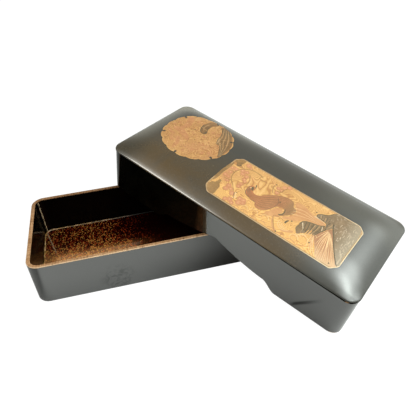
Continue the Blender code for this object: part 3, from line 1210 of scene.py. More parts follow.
for face in bm.faces:
    middle = face.calc_center_median()
    past_end = abs(middle.x) > lid_inside.length / 2 + A_LITTLE
    outside = past_end or abs(middle.y) > lid_inside.width / 2 + A_LITTLE
    over_lip = middle.z > LID_SIDE + LIP_HEIGHT - TOP_BAND
    on_seam = LID_SIDE - seam_depth(middle.x) < middle.z < LID_SIDE + LIP_HEIGHT - SEAM_BAND
    if on_seam and outside and middle.x > SEAM_START:
        face.material_index = LID_SEAM_FACE
    elif over_lip and face.normal.z > 0:
        face.material_index = LID_TOP_FACE
    elif outside:
        face.material_index = LID_WALL_FACE
    else:
        face.material_index = LID_INSIDE_FACE
bmesh.ops.transform(bm, matrix=lid_pose, verts=bm.verts)
lid = to_piece(bm, "lid_shell", [lid_wall, faded_top, inside_lacquer, seam])
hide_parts("lid")

# %% [markdown]
# ## The gold pictures
#
# The pictures are sprinkled gold lacquer: a gold ground, then shapes in rose gold and in brown lacquer,
# and fine drawn lines. They could be painted as colours on a very fine mesh, but their edges would blur
# close up. Here each shape is its own thin sheet, drawn flat in millimetres on the lid lying flat.
#
# Filled outlines come from two-dimensional curves, which Blender fills by itself. A brush stroke is such
# an outline round a path.

# %% Filled outlines and brush strokes
STROKE_TIP = 0.25
STROKE_START = 0.12


def fill(bm, points, rounded=True):
    """Adds the filled outline that passes through these places, in millimetres on the lid."""
    curve = bpy.data.curves.new("outline", "CURVE")
    curve.dimensions = "2D"
    curve.fill_mode = "BOTH"
    curve.resolution_u = 4 if rounded else 1
    spline = curve.splines.new("BEZIER")
    spline.bezier_points.add(len(points) - 1)
    spline.use_cyclic_u = True
    for knot, (x, y) in zip(spline.bezier_points, points):
        knot.co = (x, y, 0.0)
        knot.handle_left_type = knot.handle_right_type = "AUTO" if rounded else "VECTOR"
    drawn = bpy.data.objects.new("outline", curve)
    mesh = bpy.data.meshes.new_from_object(drawn)
    bm.from_mesh(mesh)
    bpy.data.objects.remove(drawn)
    bpy.data.curves.remove(curve)
    bpy.data.meshes.remove(mesh)


def brush(bm, path, width):
    """A brush stroke along a path: it swells to its width and thins out to both ends."""
    left, right = [], []
    for index, here in enumerate(path):
        before = Vector(path[max(index - 1, 0)])
        after = Vector(path[min(index + 1, len(path) - 1)])
        along = (after - before).normalized()
        share = index / (len(path) - 1)
        swell = math.sin(math.pi * min(STROKE_START + share * (1 - STROKE_START), 1.0))
        half = width / 2 * (STROKE_TIP + (1 - STROKE_TIP) * swell)
        left.append((here[0] - along.y * half, here[1] + along.x * half))
        right.append((here[0] + along.y * half, here[1] - along.x * half))
    fill(bm, left + right[::-1])


print("a stroke thins out to", STROKE_TIP, "of its width")

# %% [markdown]
# ### Blossoms and dots
#
# A blossom is a circle whose rim is pushed in between five petals, and a dot is an oval. Both are filled
# circles, so they need no curve.

# %% Blossoms and dots
PETALS = 5
PETAL_LEAST = 0.72


def blossom(bm, x, y, radius, turn=0.0):
    """A five-petalled blossom seen from above."""
    made = bmesh.ops.create_circle(bm, cap_ends=True, segments=6 * PETALS, radius=radius)
    for vert in made["verts"]:
        angle = math.atan2(vert.co.y, vert.co.x) + turn
        petal = abs(math.cos(PETALS / 2 * angle)) ** 0.6
        vert.co *= PETAL_LEAST + (1 - PETAL_LEAST) * petal
    bmesh.ops.translate(bm, verts=made["verts"], vec=(x, y, 0.0))


def dot(bm, x, y, across, high=None, turn=0.0):
    """A small filled oval."""
    made = bmesh.ops.create_circle(bm, cap_ends=True, segments=14, radius=across / 2)
    oval = Matrix.Translation((x, y, 0.0)) @ Matrix.Rotation(turn, 4, "Z")
    oval = oval @ Matrix.Diagonal((1.0, (high or across) / across, 1.0, 1.0))
    bmesh.ops.transform(bm, matrix=oval, verts=made["verts"])


print("a blossom has", PETALS, "petals")

# %% [markdown]
# ### Draping
#
# A flat sheet has to follow the dome. It could be a Shrinkwrap modifier, but the dome's height is already
# known as a function. So the sheet is cut into small squares that can bend, each of its points is lifted
# to the dome and about a tenth of a millimetre over it, and the sheet is given a depth that goes down
# into the lid.

# %% Draping thin sheets
SHEET_DEPTH = 0.25 * MM
DRAPE_STEP = 2.5


def drape(bm, name, materials, lift):
    """Bends the flat sheets over the dome, lifted a little, gives them depth and makes them a piece."""
    for axis in (0, 1):
        low = min(vert.co[axis] for vert in bm.verts)
        high = max(vert.co[axis] for vert in bm.verts)
        place = math.ceil(low / DRAPE_STEP) * DRAPE_STEP
        while place < high:
            cut_at, cut_across = Vector(), Vector()
            cut_at[axis], cut_across[axis] = place, 1.0
            everything = bm.verts[:] + bm.edges[:] + bm.faces[:]
            bmesh.ops.bisect_plane(bm, geom=everything, plane_co=cut_at, plane_no=cut_across, dist=0.001)
            place += DRAPE_STEP
    bmesh.ops.scale(bm, verts=bm.verts, vec=(MM, MM, MM))
    bmesh.ops.recalc_face_normals(bm, faces=bm.faces)
    turned = [face for face in bm.faces if face.normal.z < 0]
    bmesh.ops.reverse_faces(bm, faces=turned)
    for vert in bm.verts:
        vert.co.z = lid_top(vert.co.x, vert.co.y) + lift * MM
    top_faces = bm.faces[:]
    grown = bmesh.ops.extrude_face_region(bm, geom=top_faces)["geom"]
    under = [item for item in grown if isinstance(item, bmesh.types.BMVert)]
    bmesh.ops.translate(bm, verts=under, vec=(0.0, 0.0, -SHEET_DEPTH))
    bmesh.ops.triangulate(bm, faces=[face for face in bm.faces if len(face.verts) > 4])
    bmesh.ops.recalc_face_normals(bm, faces=bm.faces)
    bmesh.ops.transform(bm, matrix=lid_pose, verts=bm.verts)
    piece = to_piece(bm, name, materials, sharp=50)
    return piece


print("sheets are cut every", DRAPE_STEP, "mm")

# %% [markdown]
# ### Gold finishes
#
# Gold lacquer isn't solid metal. It is gold powder in lacquer, so it looks like warm ochre with a satin
# sheen and tiny bright and dark grains. Each finish is a ramp over two noises, one broad and one fine.
# The patterns read the lid's own coordinates, so they lie straight with the pictures. A finish is handed
# on as its parts, so that more tones can be mixed in before it is used.

# %% Gold finishes
POWDER_SHARE = 0.45


def gold_finish(name, dark, middle, light, broad=60.0, metallic=0.25):
    """A powdered finish from three tones; returns its parts, so that more can be mixed in."""
    material, shader = finish(name, roughness=0.42, metallic=metallic)
    at = on_lid(material)
    clouds = noise(material, at, broad, 4.0, 0.6, 0.5)
    powder = noise(material, at, 1400.0, 2.0, 0.7)
    mixed = maths(material, "MULTIPLY", clouds, 1 - POWDER_SHARE)
    mixed = maths(material, "MULTIPLY_ADD", powder, POWDER_SHARE, mixed)
    colour = ramp(material, mixed, (0.36, dark), (0.50, middle), (0.64, light))
    feed(material, colour, shader, "Base Color")
    relief(material, shader, powder, 0.02 * MM)
    return material, shader, at, colour


def mixed_in(parts, share, tone):
    """Mixes one more tone into a finish."""
    material, shader, at, colour = parts
    colour = blend(material, share, colour, tone)
    feed(material, colour, shader, "Base Color")
    return material, shader, at, colour


def clouded(parts, tone, scale, low, high, amount):
    """Mixes soft clouds of another tone into a finish."""
    clouds = noise(parts[0], parts[2], scale, 3.0, 0.6, 1.0)
    return mixed_in(parts, span(parts[0], clouds, low, high, 0.0, amount), tone)


def turning(parts, tone, start, end, axis=0):
    """Turns a finish into another tone between two places along the lid."""
    place = add(parts[0], "ShaderNodeSeparateXYZ", Vector=parts[2]).outputs[axis]
    return mixed_in(parts, span(parts[0], place, start * MM, end * MM), tone)


print("powder makes", POWDER_SHARE, "of the grain")

# %% [markdown]
# ### The two gold grounds
#
# The grounds aren't even: soft clouds of rose lie in the gold, and fine brushed lines wander over it. The
# lines are the contours of a smooth noise: it is multiplied and folded up and down, so that it passes
# the same values again and again, and near the two turning points it is mixed with a pale and a deep tone.

# %% Gold grounds
ROSE = (0.47, 0.190, 0.085)
NEAR_EDGE_GOLD = (0.60, 0.335, 0.100)
CONTOURS = 34.0


def rippled(parts, pale, deep, scale=34.0):
    """Adds fine brushed lines that wander like the contours of a map."""
    material, _, at, _ = parts
    smooth = noise(material, at, scale, 2.0, 0.35, 0.9)
    wave = maths(material, "PINGPONG", maths(material, "MULTIPLY", smooth, CONTOURS), 0.5)
    parts = mixed_in(parts, span(material, wave, 0.26, 0.46, 0.0, 0.50), pale)
    return mixed_in(parts, span(material, wave, 0.20, 0.04, 0.0, 0.88), deep)


gold = gold_finish("gold_ground", (0.41, 0.205, 0.058), (0.50, 0.270, 0.084), (0.60, 0.35, 0.125))
gold = clouded(gold, ROSE, 40.0, 0.52, 0.66, 0.45)
gold = turning(gold, NEAR_EDGE_GOLD, -18, -36, axis=1)
gold_ground = rippled(gold, (0.64, 0.41, 0.17), (0.35, 0.155, 0.050))[0]
gold = gold_finish("round_ground", (0.34, 0.165, 0.050), (0.41, 0.210, 0.066), (0.49, 0.27, 0.100))
gold = clouded(gold, (0.38, 0.160, 0.075), 30.0, 0.48, 0.64, 0.55)
round_ground = rippled(gold, (0.50, 0.290, 0.120), (0.29, 0.125, 0.038), 38.0)[0]
print("made", gold_ground.name, "and", round_ground.name)

# %% [markdown]
# ### The powders
#
# A lacquer artist keeps many mixed powders at hand, from cream over gold and rose to nearly black. They
# are the same finish in other tones, so they are listed in a table and made in a loop.

# %% Powders
POWDERS = {
    # name: dark, middle and light tone, breadth of its clouds, how metallic
    "cream_line": ((0.46, 0.36, 0.23), (0.55, 0.44, 0.29), (0.64, 0.53, 0.37), 60.0, 0.1),
    "pale_gold": ((0.50, 0.32, 0.15), (0.60, 0.40, 0.20), (0.70, 0.50, 0.28), 60.0, 0.25),
    "salmon": ((0.40, 0.190, 0.072), (0.45, 0.220, 0.086), (0.51, 0.27, 0.11), 120.0, 0.2),
    "rose_gold": ((0.40, 0.165, 0.070), (0.46, 0.195, 0.090), (0.52, 0.25, 0.12), 120.0, 0.2),
    "rose_line": ((0.37, 0.165, 0.066), (0.42, 0.195, 0.080), (0.47, 0.24, 0.10), 60.0, 0.2),
    "rose_bank": ((0.32, 0.140, 0.052), (0.38, 0.168, 0.065), (0.44, 0.21, 0.090), 120.0, 0.2),
    "blossom_edge": ((0.28, 0.120, 0.040), (0.34, 0.155, 0.056), (0.40, 0.19, 0.075), 60.0, 0.2),
    "soft_ochre": ((0.18, 0.080, 0.024), (0.22, 0.102, 0.032), (0.28, 0.135, 0.046), 60.0, 0.2),
    "soft_gold": ((0.50, 0.295, 0.125), (0.56, 0.345, 0.150), (0.62, 0.40, 0.19), 60.0, 0.25),
    "wall_mark": ((0.33, 0.26, 0.175), (0.39, 0.31, 0.215), (0.46, 0.37, 0.26), 60.0, 0.1),
    "bank_brown": ((0.12, 0.059, 0.018), (0.175, 0.086, 0.027), (0.24, 0.13, 0.045), 90.0, 0.1),
    "ochre_line": ((0.22, 0.110, 0.032), (0.28, 0.150, 0.050), (0.36, 0.20, 0.07), 60.0, 0.2),
    "rock_brown": ((0.15, 0.080, 0.024), (0.215, 0.115, 0.036), (0.30, 0.17, 0.060), 90.0, 0.1),
    "bank_line": ((0.26, 0.155, 0.070), (0.31, 0.190, 0.088), (0.37, 0.24, 0.12), 60.0, 0.1),
    "rock_olive": ((0.11, 0.065, 0.026), (0.16, 0.098, 0.042), (0.24, 0.15, 0.068), 110.0, 0.1),
    "feather_line": ((0.14, 0.066, 0.028), (0.17, 0.082, 0.038), (0.21, 0.11, 0.055), 60.0, 0.1),
    "dark_line": ((0.045, 0.032, 0.012), (0.075, 0.054, 0.022), (0.12, 0.085, 0.04), 60.0, 0.0),
    "black_dot": ((0.010, 0.009, 0.007), (0.014, 0.012, 0.010), (0.02, 0.017, 0.013), 60.0, 0.0),
}
powders = {}
for name, (dark, middle, light, broad, metallic) in POWDERS.items():
    powders[name] = gold_finish(name, dark, middle, light, broad, metallic)[0]
print(len(powders), "powders")

# %% [markdown]
# ### Finishes that change along the lid
#
# Three areas change their tone along the lid: the bird is red-brown at the neck and duller at the tail,
# the rock wall goes from brown to a sprinkled grey, and the fall is palest at its foot.

# %% Finishes that change along the lid
feathers = gold_finish(
    "feathers", (0.25, 0.104, 0.038), (0.31, 0.136, 0.052), (0.39, 0.181, 0.074), 110.0, 0.1,
)
feathers = turning(feathers, (0.36, 0.128, 0.042), 24, 6)
feathers = turning(feathers, (0.24, 0.128, 0.048), 34, 44)
rock_wall = gold_finish(
    "rock_wall", (0.12, 0.075, 0.034), (0.175, 0.112, 0.054), (0.24, 0.16, 0.085), 110.0, 0.1,
)
rock_wall = turning(rock_wall, (0.25, 0.200, 0.132), 84, 99)
grains = noise(rock_wall[0], rock_wall[2], 420.0, 2.0, 0.7)
rock_wall = mixed_in(rock_wall, span(rock_wall[0], grains, 0.54, 0.68, 0.0, 0.42), (0.44, 0.35, 0.25))
fall_water = gold_finish(
    "fall_water", (0.26, 0.122, 0.056), (0.30, 0.144, 0.068), (0.35, 0.178, 0.086), 80.0, 0.2,
)
fall_water = turning(fall_water, (0.48, 0.32, 0.18), -28, -43, axis=1)
print("made", feathers[0].name, "and", rock_wall[0].name, "and", fall_water[0].name)

# %% [markdown]
# ### The long picture: ground and frame
#
# The long picture is a panel with blunted corners. Two insets make its frame: a cream line, brighter
# towards the standing end, and a thin brown one inside it. Four strips could be laid round the panel
# instead, but insets keep the corners whole. The panel lies a little towards the side that faces us.

# %% Ground and frame of the long picture
PANEL_LOW = Vector((-29.0, -43.2))
PANEL_HIGH = Vector((102.0, 13.3))
PANEL_CORNER = 5.4
PANEL_SOFTENED = 1.6
FRAME_WIDTH = 0.7
INNER_FRAME = 0.5

frame_line = gold_finish(
    "frame_line", (0.36, 0.225, 0.108), (0.42, 0.270, 0.138), (0.48, 0.325, 0.175), metallic=0.2,
)
frame_line = turning(frame_line, (0.58, 0.45, 0.28), 60, 92)
bm = bmesh.new()
bmesh.ops.create_grid(bm, x_segments=1, y_segments=1, size=0.5)
panel_size = PANEL_HIGH - PANEL_LOW
bmesh.ops.scale(bm, verts=bm.verts, vec=(panel_size.x, panel_size.y, 1.0))
bmesh.ops.translate(bm, verts=bm.verts, vec=(*((PANEL_LOW + PANEL_HIGH) / 2), 0.0))
for cut, steps in ((PANEL_CORNER, 1), (PANEL_SOFTENED, 3)):
    bmesh.ops.bevel(
        bm, geom=bm.verts[:], offset=cut, offset_type="OFFSET", segments=steps,
        profile=0.5, affect="VERTICES", material=-1,
    )
ground = bm.faces[:][0]
for index, width in ((1, FRAME_WIDTH), (2, INNER_FRAME)):
    line = bmesh.ops.inset_region(
        bm, faces=[ground], thickness=width, use_boundary=True, use_even_offset=True,
    )["faces"]
    for face in line:
        face.material_index = index
drape(bm, "long_picture_ground", [gold_ground, frame_line[0], powders["rock_brown"]], 0.05)

# %% [markdown]
# ### The long picture: salmon patches
#
# The design is a usual one for such boxes: a long-tailed bird among blossom, dark rocks, and a fall that
# spreads over the water. It is drawn here as broad areas, and then lines are laid over them. The lowest
# layer is a few salmon patches: mist round the bird's tail, moss and small banks.

# %% Salmon patches
SALMON_PATCHES = [
    [(30.6, -27.0), (32.4, -20.6), (36.4, -17.8), (39.0, -20.0), (38.4, -24.4), (40.4, -26.2), (36.0, -30.4),
     (28.4, -31.4)],
    [(42.6, -2.4), (48.0, 0.2), (57.0, -3.0), (63.0, -5.0), (73.0, -6.4), (74.4, -9.4), (66.0, -12.4),
     (58.6, -15.2), (54.0, -20.6), (47.0, -24.4), (42.6, -25.8), (47.0, -19.6), (49.0, -13.0), (46.8, -8.6)],
    [(2.6, -29.8), (7.0, -31.2), (11.6, -33.2), (9.4, -36.4), (6.4, -39.6), (3.6, -36.0)],
    [(-25.4, -4.0), (-21.0, -6.0), (-19.0, -14.0), (-16.0, -22.6), (-19.6, -24.2), (-24.6, -20.0),
     (-25.6, -12.0)],
    [(36.4, -31.4), (39.0, -34.4), (42.6, -38.0), (46.0, -41.0), (43.0, -40.6), (38.8, -36.6)],
    [(48.6, -38.0), (53.0, -36.6), (57.4, -32.2), (55.0, -32.6), (51.6, -35.4), (47.6, -37.0)],
]


def lay_areas(name, outlines, powder, lift):
    """Fills one or more outlines and drapes them as one piece."""
    bm = bmesh.new()
    for outline in outlines:
        fill(bm, outline)
    drape(bm, name, [powder], lift)


lay_areas("picture_patches", SALMON_PATCHES, powders["salmon"], 0.065)

# %% [markdown]
# ### The long picture: the left end
#
# A cloud and a rock stand in the two corners of the left end, and a narrow brown band joins them. All
# three have the same brown, so they are one piece.

# %% Cloud, rock and band at the left end
CORNER_CLOUD = [
    (-27.4, 4.0), (-27.0, 8.4), (-24.4, 11.6), (-20.0, 11.9), (-19.8, 8.4), (-20.6, 4.4), (-22.2, 0.4),
    (-23.8, 1.2), (-25.4, 4.2),
]
CORNER_ROCK = [
    (-27.2, -37.8), (-24.0, -41.8), (-17.6, -41.9), (-17.2, -37.2), (-17.8, -32.4), (-20.0, -29.6),
    (-20.8, -25.6), (-22.4, -25.4), (-23.4, -28.6), (-24.2, -31.0), (-26.2, -31.6), (-27.2, -34.4),
]
SIDE_BAND = [
    (-27.5, -30.0), (-27.5, 3.0), (-26.6, 1.5), (-26.0, -8.0), (-26.4, -15.0), (-25.9, -22.0), (-26.6, -29.0),
]

lay_areas("picture_corners", [CORNER_CLOUD, CORNER_ROCK, SIDE_BAND], powders["rock_brown"], 0.09)

# %% [markdown]
# ### The long picture: rocks
#
# Dark rocks close the picture on the right: olive steps in front, and behind them a tall wall whose foot
# slants down along the fall.

# %% Rock steps and rock wall
ROCK_STEPS = [
    (57.4, -17.4), (60.6, -14.8), (66.0, -13.0), (71.0, -11.2), (73.6, -8.6), (76.4, -11.4), (75.6, -15.0),
    (74.0, -18.4), (73.0, -22.4), (71.4, -25.2), (69.4, -22.4), (67.4, -20.8), (65.8, -22.8), (65.2, -27.0),
    (62.8, -29.4), (60.4, -32.2), (58.0, -30.0), (56.4, -27.2), (57.0, -22.0),
]
ROCK_WALL = [
    (74.8, 11.8), (73.0, 8.0), (70.6, 4.8), (66.8, 2.4), (64.0, 0.0), (62.8, -2.6), (64.6, -3.8),
    (68.6, -4.2), (73.0, -5.2), (74.6, -8.0), (76.4, -11.8), (78.4, -9.8), (80.2, -7.2), (83.2, -11.0),
    (86.6, -17.2),
    (90.4, -24.4), (95.2, -31.8), (100.2, -38.2), (100.6, -30.0), (100.7, -12.0), (100.6, 3.0), (99.6, 8.4),
    (96.2, 11.8), (86.0, 12.0),
]

lay_areas("picture_steps", [ROCK_STEPS], powders["rock_olive"], 0.10)
lay_areas("picture_rock_wall", [ROCK_WALL], rock_wall[0], 0.095)

# %% [markdown]
# ### The long picture: fall and bird
#
# The fall comes down between the rocks and spreads over the water. The bird stands in the middle, with
# its head to the left and its tail sweeping up to the right, over the patch of mist.

# %% Fall and bird
FALL = [
    (80.2, -8.2), (78.2, -10.6), (76.2, -15.4), (73.6, -19.6), (72.2, -23.0), (74.8, -29.0), (79.2, -36.0),
    (83.4, -41.8), (90.0, -41.9), (96.4, -41.6), (99.8, -39.0), (95.0, -32.4), (90.2, -24.8), (84.0, -13.2),
]
BIRD_BODY = [
    (1.3, -14.4), (2.2, -11.8), (4.2, -11.0), (6.4, -12.0), (7.5, -14.4), (7.3, -17.0), (9.4, -18.7),
    (13.2, -18.5), (17.2, -15.2), (21.0, -10.4), (26.0, -6.0), (32.0, -2.7), (38.0, -2.0), (41.4, -3.8),
    (43.6, -8.4), (46.8, -9.8), (48.0, -13.6), (46.0, -18.6), (43.0, -22.4), (40.2, -25.4), (38.4, -25.6),
    (40.0, -22.0), (40.0, -18.6), (38.4, -16.4), (35.0, -16.8), (31.6, -19.4), (29.6, -25.4), (25.4, -30.4),
    (20.6, -31.8), (17.2, -30.0), (16.0, -27.4), (12.0, -27.0), (7.6, -25.6), (3.8, -23.6), (1.9, -19.0),
]

lay_areas("picture_fall", [FALL], fall_water[0], 0.08)
lay_areas("picture_bird", [BIRD_BODY], feathers[0], 0.10)

# %% [markdown]
# ### The long picture: blossom
#
# Rose blossoms hang in the gold. Each has an ochre edge, which is a larger blossom under it, and a pale
# heart. One layer could hold all three tones, but three sheets, one over the other, keep each tone whole.

# %% Blossom
BLOSSOMS = [
    (-14.4, 8.6, 2.7), (-10.6, 6.4, 1.5), (-15.0, -1.2, 2.3), (-10.6, -0.6, 2.2), (-12.4, -4.8, 2.3),
    (-7.6, -5.8, 2.3), (-7.0, -10.4, 2.0), (-4.8, -12.4, 1.6), (-22.0, -10.6, 2.2), (-23.4, -16.6, 2.2),
    (-19.8, -17.0, 2.1), (-20.4, -3.8, 2.1), (-24.0, -4.6, 1.8), (-17.4, -21.6, 2.0), (-5.6, -17.0, 2.2),
    (-5.6, -21.2, 2.2), (-12.4, -26.2, 2.4), (-12.4, -30.6, 2.4), (-8.6, -28.4, 1.9), (-4.9, -31.8, 2.5),
    (-2.8, -38.2, 2.4), (-6.2, -40.0, 1.9), (3.8, -32.4, 2.2), (7.6, -32.0, 2.1), (5.0, -36.4, 2.4),
    (8.8, -34.8, 2.1), (0.6, -40.0, 1.9), (25.2, 7.0, 2.4), (28.8, 10.2, 2.3), (21.8, 2.4, 2.1),
    (23.6, -3.2, 2.1), (25.2, 1.8, 1.6),
]
EDGE = 0.35
HEART = 0.75
PETAL_TURN = 0.7

for name, powder, grow, lift in (
    ("picture_blossom_edges", "blossom_edge", EDGE, 0.115),
    ("picture_blossoms", "rose_gold", 0.0, 0.13),
    ("picture_blossom_hearts", "pale_gold", None, 0.15),
):
    bm = bmesh.new()
    for number, (x, y, radius) in enumerate(BLOSSOMS):
        if grow is None:
            dot(bm, x, y, HEART)
        else:
            blossom(bm, x, y, radius + grow, turn=PETAL_TURN * number)
    drape(bm, name, [powders[powder]], lift)

# %% [markdown]
# ### The long picture: branches
#
# A bent ochre branch carries the blossom, with short twigs. Each is one brush stroke: a path and a width.

# %% Branches
BRANCHES = [
    ([(4.0, 4.4), (-4.0, 6.2), (-10.0, 5.2), (-15.4, 1.2), (-18.6, -5.0), (-18.4, -12.0), (-15.4, -18.4),
      (-11.0, -22.4), (-8.4, -25.6), (-5.4, -28.4)], 1.1),
    ([(-6.6, -1.6), (-3.8, -5.6), (-2.0, -10.2), (-1.6, -15.4)], 0.8),
    ([(-15.4, 1.2), (-19.0, 3.0), (-22.4, 3.0)], 0.6),
    ([(-18.4, -9.0), (-21.4, -8.2), (-24.0, -9.4)], 0.6),
    ([(-15.0, -19.0), (-19.0, -20.6), (-22.6, -20.0)], 0.6),
    ([(16.8, 3.4), (18.2, -1.6), (20.8, -6.4)], 0.8),
    ([(22.6, -2.0), (25.6, -0.6), (26.4, 4.0), (27.6, 7.8)], 0.7),
    ([(1.4, 1.6), (6.0, 0.6), (11.0, 1.2)], 0.5),
    ([(37.0, -31.4), (40.4, -36.0), (44.0, -40.4), (46.6, -41.4)], 0.7),
    ([(37.0, -31.4), (36.2, -28.4), (40.0, -27.2), (46.0, -28.0)], 0.5),
]
bm = bmesh.new()
for path, width in BRANCHES:
    brush(bm, path, width)
drape(bm, "picture_branches", [powders["ochre_line"]], 0.14)

# %% [markdown]
# ### Helpers for fine lines
#
# Fine lines finish the areas: feathers, cracks in the rocks, the threads of the fall and the rings on the
# water. To draw each by hand would take hundreds of paths. Most of them follow one of three ways: they
# fan out from a common point, they lie between two paths, or they are part of an oval. A seeded random
# source shakes them a little, as a hand would.

# %% Helpers for fine lines
ARC_STEPS = 8
hand = random.Random(11)


def fan(bm, start, ends, width, bend=0.0):
    """Lines from a common point to several ends, each bent and shaken a little."""
    for x, y in ends:
        way = Vector((x, y)) - Vector(start)
        aside = Vector((-way.y, way.x)) * (bend + hand.uniform(-0.02, 0.02))
        begin = Vector(start) + way * hand.uniform(0.08, 0.30)
        middle = Vector(start) + way * 0.6 + aside
        brush(bm, [tuple(begin), tuple(middle), (x, y)], width * hand.uniform(0.7, 1.2))


def arc(bm, middle, radius, first, last, width, flat=1.0):
    """A stroke along part of an oval; the angles are in degrees."""
    path = []
    for step in range(ARC_STEPS + 1):
        angle = math.radians(first + (last - first) * step / ARC_STEPS)
        path.append((middle[0] + radius * math.cos(angle), middle[1] + flat * radius * math.sin(angle)))
    brush(bm, path, width)


def between(bm, upper, lower, shares, width):
    """Strokes that run lengthwise between two paths of the same number of places."""
    for share in shares:
        path = [
            (high[0] + (low[0] - high[0]) * share, high[1] + (low[1] - high[1]) * share)
            for high, low in zip(upper, lower)
        ]
        brush(bm, path, width)


def even_places(first, last, count):
    """Places at equal distances between two ends."""
    return [tuple(Vector(first).lerp(Vector(last), step / (count - 1))) for step in range(count)]


print("five places in a metre:", even_places((0.0, 0.0), (1.0, 0.0), 5))

# %% [markdown]
# ### The water: rose lines
#
# The fall is drawn with rose threads that fan out from its top. Rings and low waves lie on the water, and
# the bird's tail gets a few lines in the same powder.

# %% Rose lines
FALL_START = (79.4, -9.4)
TAIL_UPPER = [(44.0, -4.6), (52.0, -2.2), (62.0, -5.6), (73.4, -8.2)]
TAIL_LOWER = [(46.5, -22.6), (54.5, -18.6), (62.0, -13.4), (73.0, -9.6)]
RIPPLES = [(60.6, -37.6, 2.4), (66.6, -35.0, 3.8), (21.0, -37.6, 2.8), (31.6, -36.6, 2.6), (12.6, -38.6, 2.0)]

bm = bmesh.new()
fan(bm, FALL_START, even_places((84.2, -41.2), (97.0, -41.0), 9), 0.42)
fan(bm, FALL_START, even_places((75.2, -29.0), (82.0, -39.8), 4), 0.42, bend=-0.03)
fan(bm, (71.0, -21.0), even_places((73.6, -36.0), (80.6, -41.6), 4), 0.42, bend=-0.05)
for x, y, radius in RIPPLES:
    arc(bm, (x, y), radius, 15, 200, 0.4)
    arc(bm, (x + radius, y - 1.2), 0.6 * radius, 200, 350, 0.35)
between(bm, TAIL_UPPER, TAIL_LOWER, (0.12, 0.34, 0.56, 0.78), 0.42)
for x in range(2, 70, 9):
    brush(bm, [(x, -41.2), (x + 3.4, -39.8 + hand.uniform(-0.5, 0.5)), (x + 7.4, -40.8)], 0.4)
drape(bm, "picture_rose_lines", [powders["rose_line"]], 0.15)

# %% [markdown]
# ### The water: pale lines
#
# Pale threads lie between the rose ones, a little brighter where the fall spreads. Waves, ripples and the
# light on the nearest leaves and on the bird's cheek are in the same pale gold.

# %% Pale lines
bm = bmesh.new()
fan(bm, FALL_START, even_places((83.4, -41.4), (98.0, -40.0), 10), 0.36)
fan(bm, FALL_START, even_places((74.4, -27.0), (82.8, -41.2), 4), 0.4, bend=-0.03)
fan(bm, (70.6, -22.0), even_places((72.6, -38.0), (82.0, -42.0), 4), 0.5, bend=-0.05)
between(bm, TAIL_UPPER, TAIL_LOWER, (0.23, 0.45, 0.67), 0.30)
for radius in (2.4, 4.2, 6.0):
    arc(bm, (48.4, -31.6), radius, 160, 330, 0.5, 0.8)
for x, y, radius in RIPPLES:
    arc(bm, (x, y), radius + 1.3, 15, 190, 0.42)
for x, y in even_places((60.0, -35.0), (70.4, -26.6), 4):
    arc(bm, (x + 2.0, y + 0.6), 2.4, 20, 170, 0.4)
brush(bm, [(-3.0, -29.0), (-1.4, -31.6), (0.8, -34.6)], 0.9)
brush(bm, [(-1.8, -35.8), (-0.6, -33.4), (0.6, -32.0)], 0.7)
brush(bm, [(3.0, -15.6), (3.6, -14.4), (4.0, -13.2)], 0.9)
drape(bm, "picture_pale_lines", [powders["pale_gold"]], 0.155)

# %% [markdown]
# ### Marks on the rock wall
#
# The rock wall is sprinkled with short pale marks that lean a little. They are drawn at random places, and
# those that would fall on the water are pushed back over the wall's slanting foot.

# %% Wall marks
WALL_MARKS = 46
MARKS_FROM, MARKS_TO = (84.0, -36.0), (99.4, 9.0)
SLANT_TOP = (86.0, -10.0)
SLANT = 0.72
RIGHT_END = 99.8

bm = bmesh.new()
for _ in range(WALL_MARKS):
    x, y = hand.uniform(MARKS_FROM[0], MARKS_TO[0]), hand.uniform(MARKS_FROM[1], MARKS_TO[1])
    if y < SLANT_TOP[1]:
        x = max(x, min(SLANT_TOP[0] - SLANT * (y - SLANT_TOP[1]), 99.0))
    lean, long = hand.uniform(-0.5, 0.9), hand.uniform(1.6, 4.4)
    path = [(x, y), (x + 0.2 * lean, y - 0.5 * long), (min(x + lean, RIGHT_END), y - long)]
    brush(bm, path, hand.uniform(0.28, 0.46))
drape(bm, "picture_wall_marks", [powders["wall_mark"]], 0.15)

# %% [markdown]
# ### Cream lines
#
# Three cream lines catch the light on the edges of the rock steps and on the tip of the tail.

# %% Cream lines
bm = bmesh.new()
brush(bm, [(58.2, -18.6), (60.4, -22.2), (63.2, -27.0)], 0.5)
brush(bm, [(72.6, -11.0), (73.8, -13.6), (74.4, -15.6)], 0.6)
brush(bm, [(62.0, -4.8), (67.4, -4.9), (72.2, -6.2)], 0.5)
drape(bm, "picture_cream_lines", [powders["cream_line"]], 0.155)

# %% [markdown]
# ### Lines of the bird
#
# The bird's feathers lie in long rows from its breast to its tail. The rows run between two paths, one
# along its back and one along its breast. Three more strokes round off the wing, the neck and the rump.

# %% Feather lines
BACK = [
    (2.6, -13.0), (7.6, -19.8), (13.2, -19.4), (18.0, -14.4), (23.6, -8.4), (30.0, -4.2), (37.4, -3.0),
    (42.0, -7.0),
]
BREAST = [
    (2.2, -19.6), (6.8, -25.0), (12.6, -26.6), (19.4, -31.0), (26.6, -28.4), (30.6, -19.6), (36.4, -16.0),
    (45.0, -19.4),
]
bm = bmesh.new()
between(bm, BACK, BREAST, (0.0, 0.15, 0.30, 0.44, 0.58, 0.72, 0.86), 0.36)
brush(bm, [(28.0, -8.6), (30.8, -12.6), (31.4, -17.4), (29.8, -23.4), (26.6, -28.4)], 0.7)
brush(bm, [(1.6, -13.4), (1.6, -18.0), (3.4, -23.2), (7.2, -25.3), (12.0, -26.8), (15.8, -27.0)], 0.8)
brush(bm, [(46.8, -10.6), (44.4, -12.6), (43.4, -16.4), (42.4, -20.0)], 0.4)
drape(bm, "picture_feather_lines", [powders["feather_line"]], 0.15)

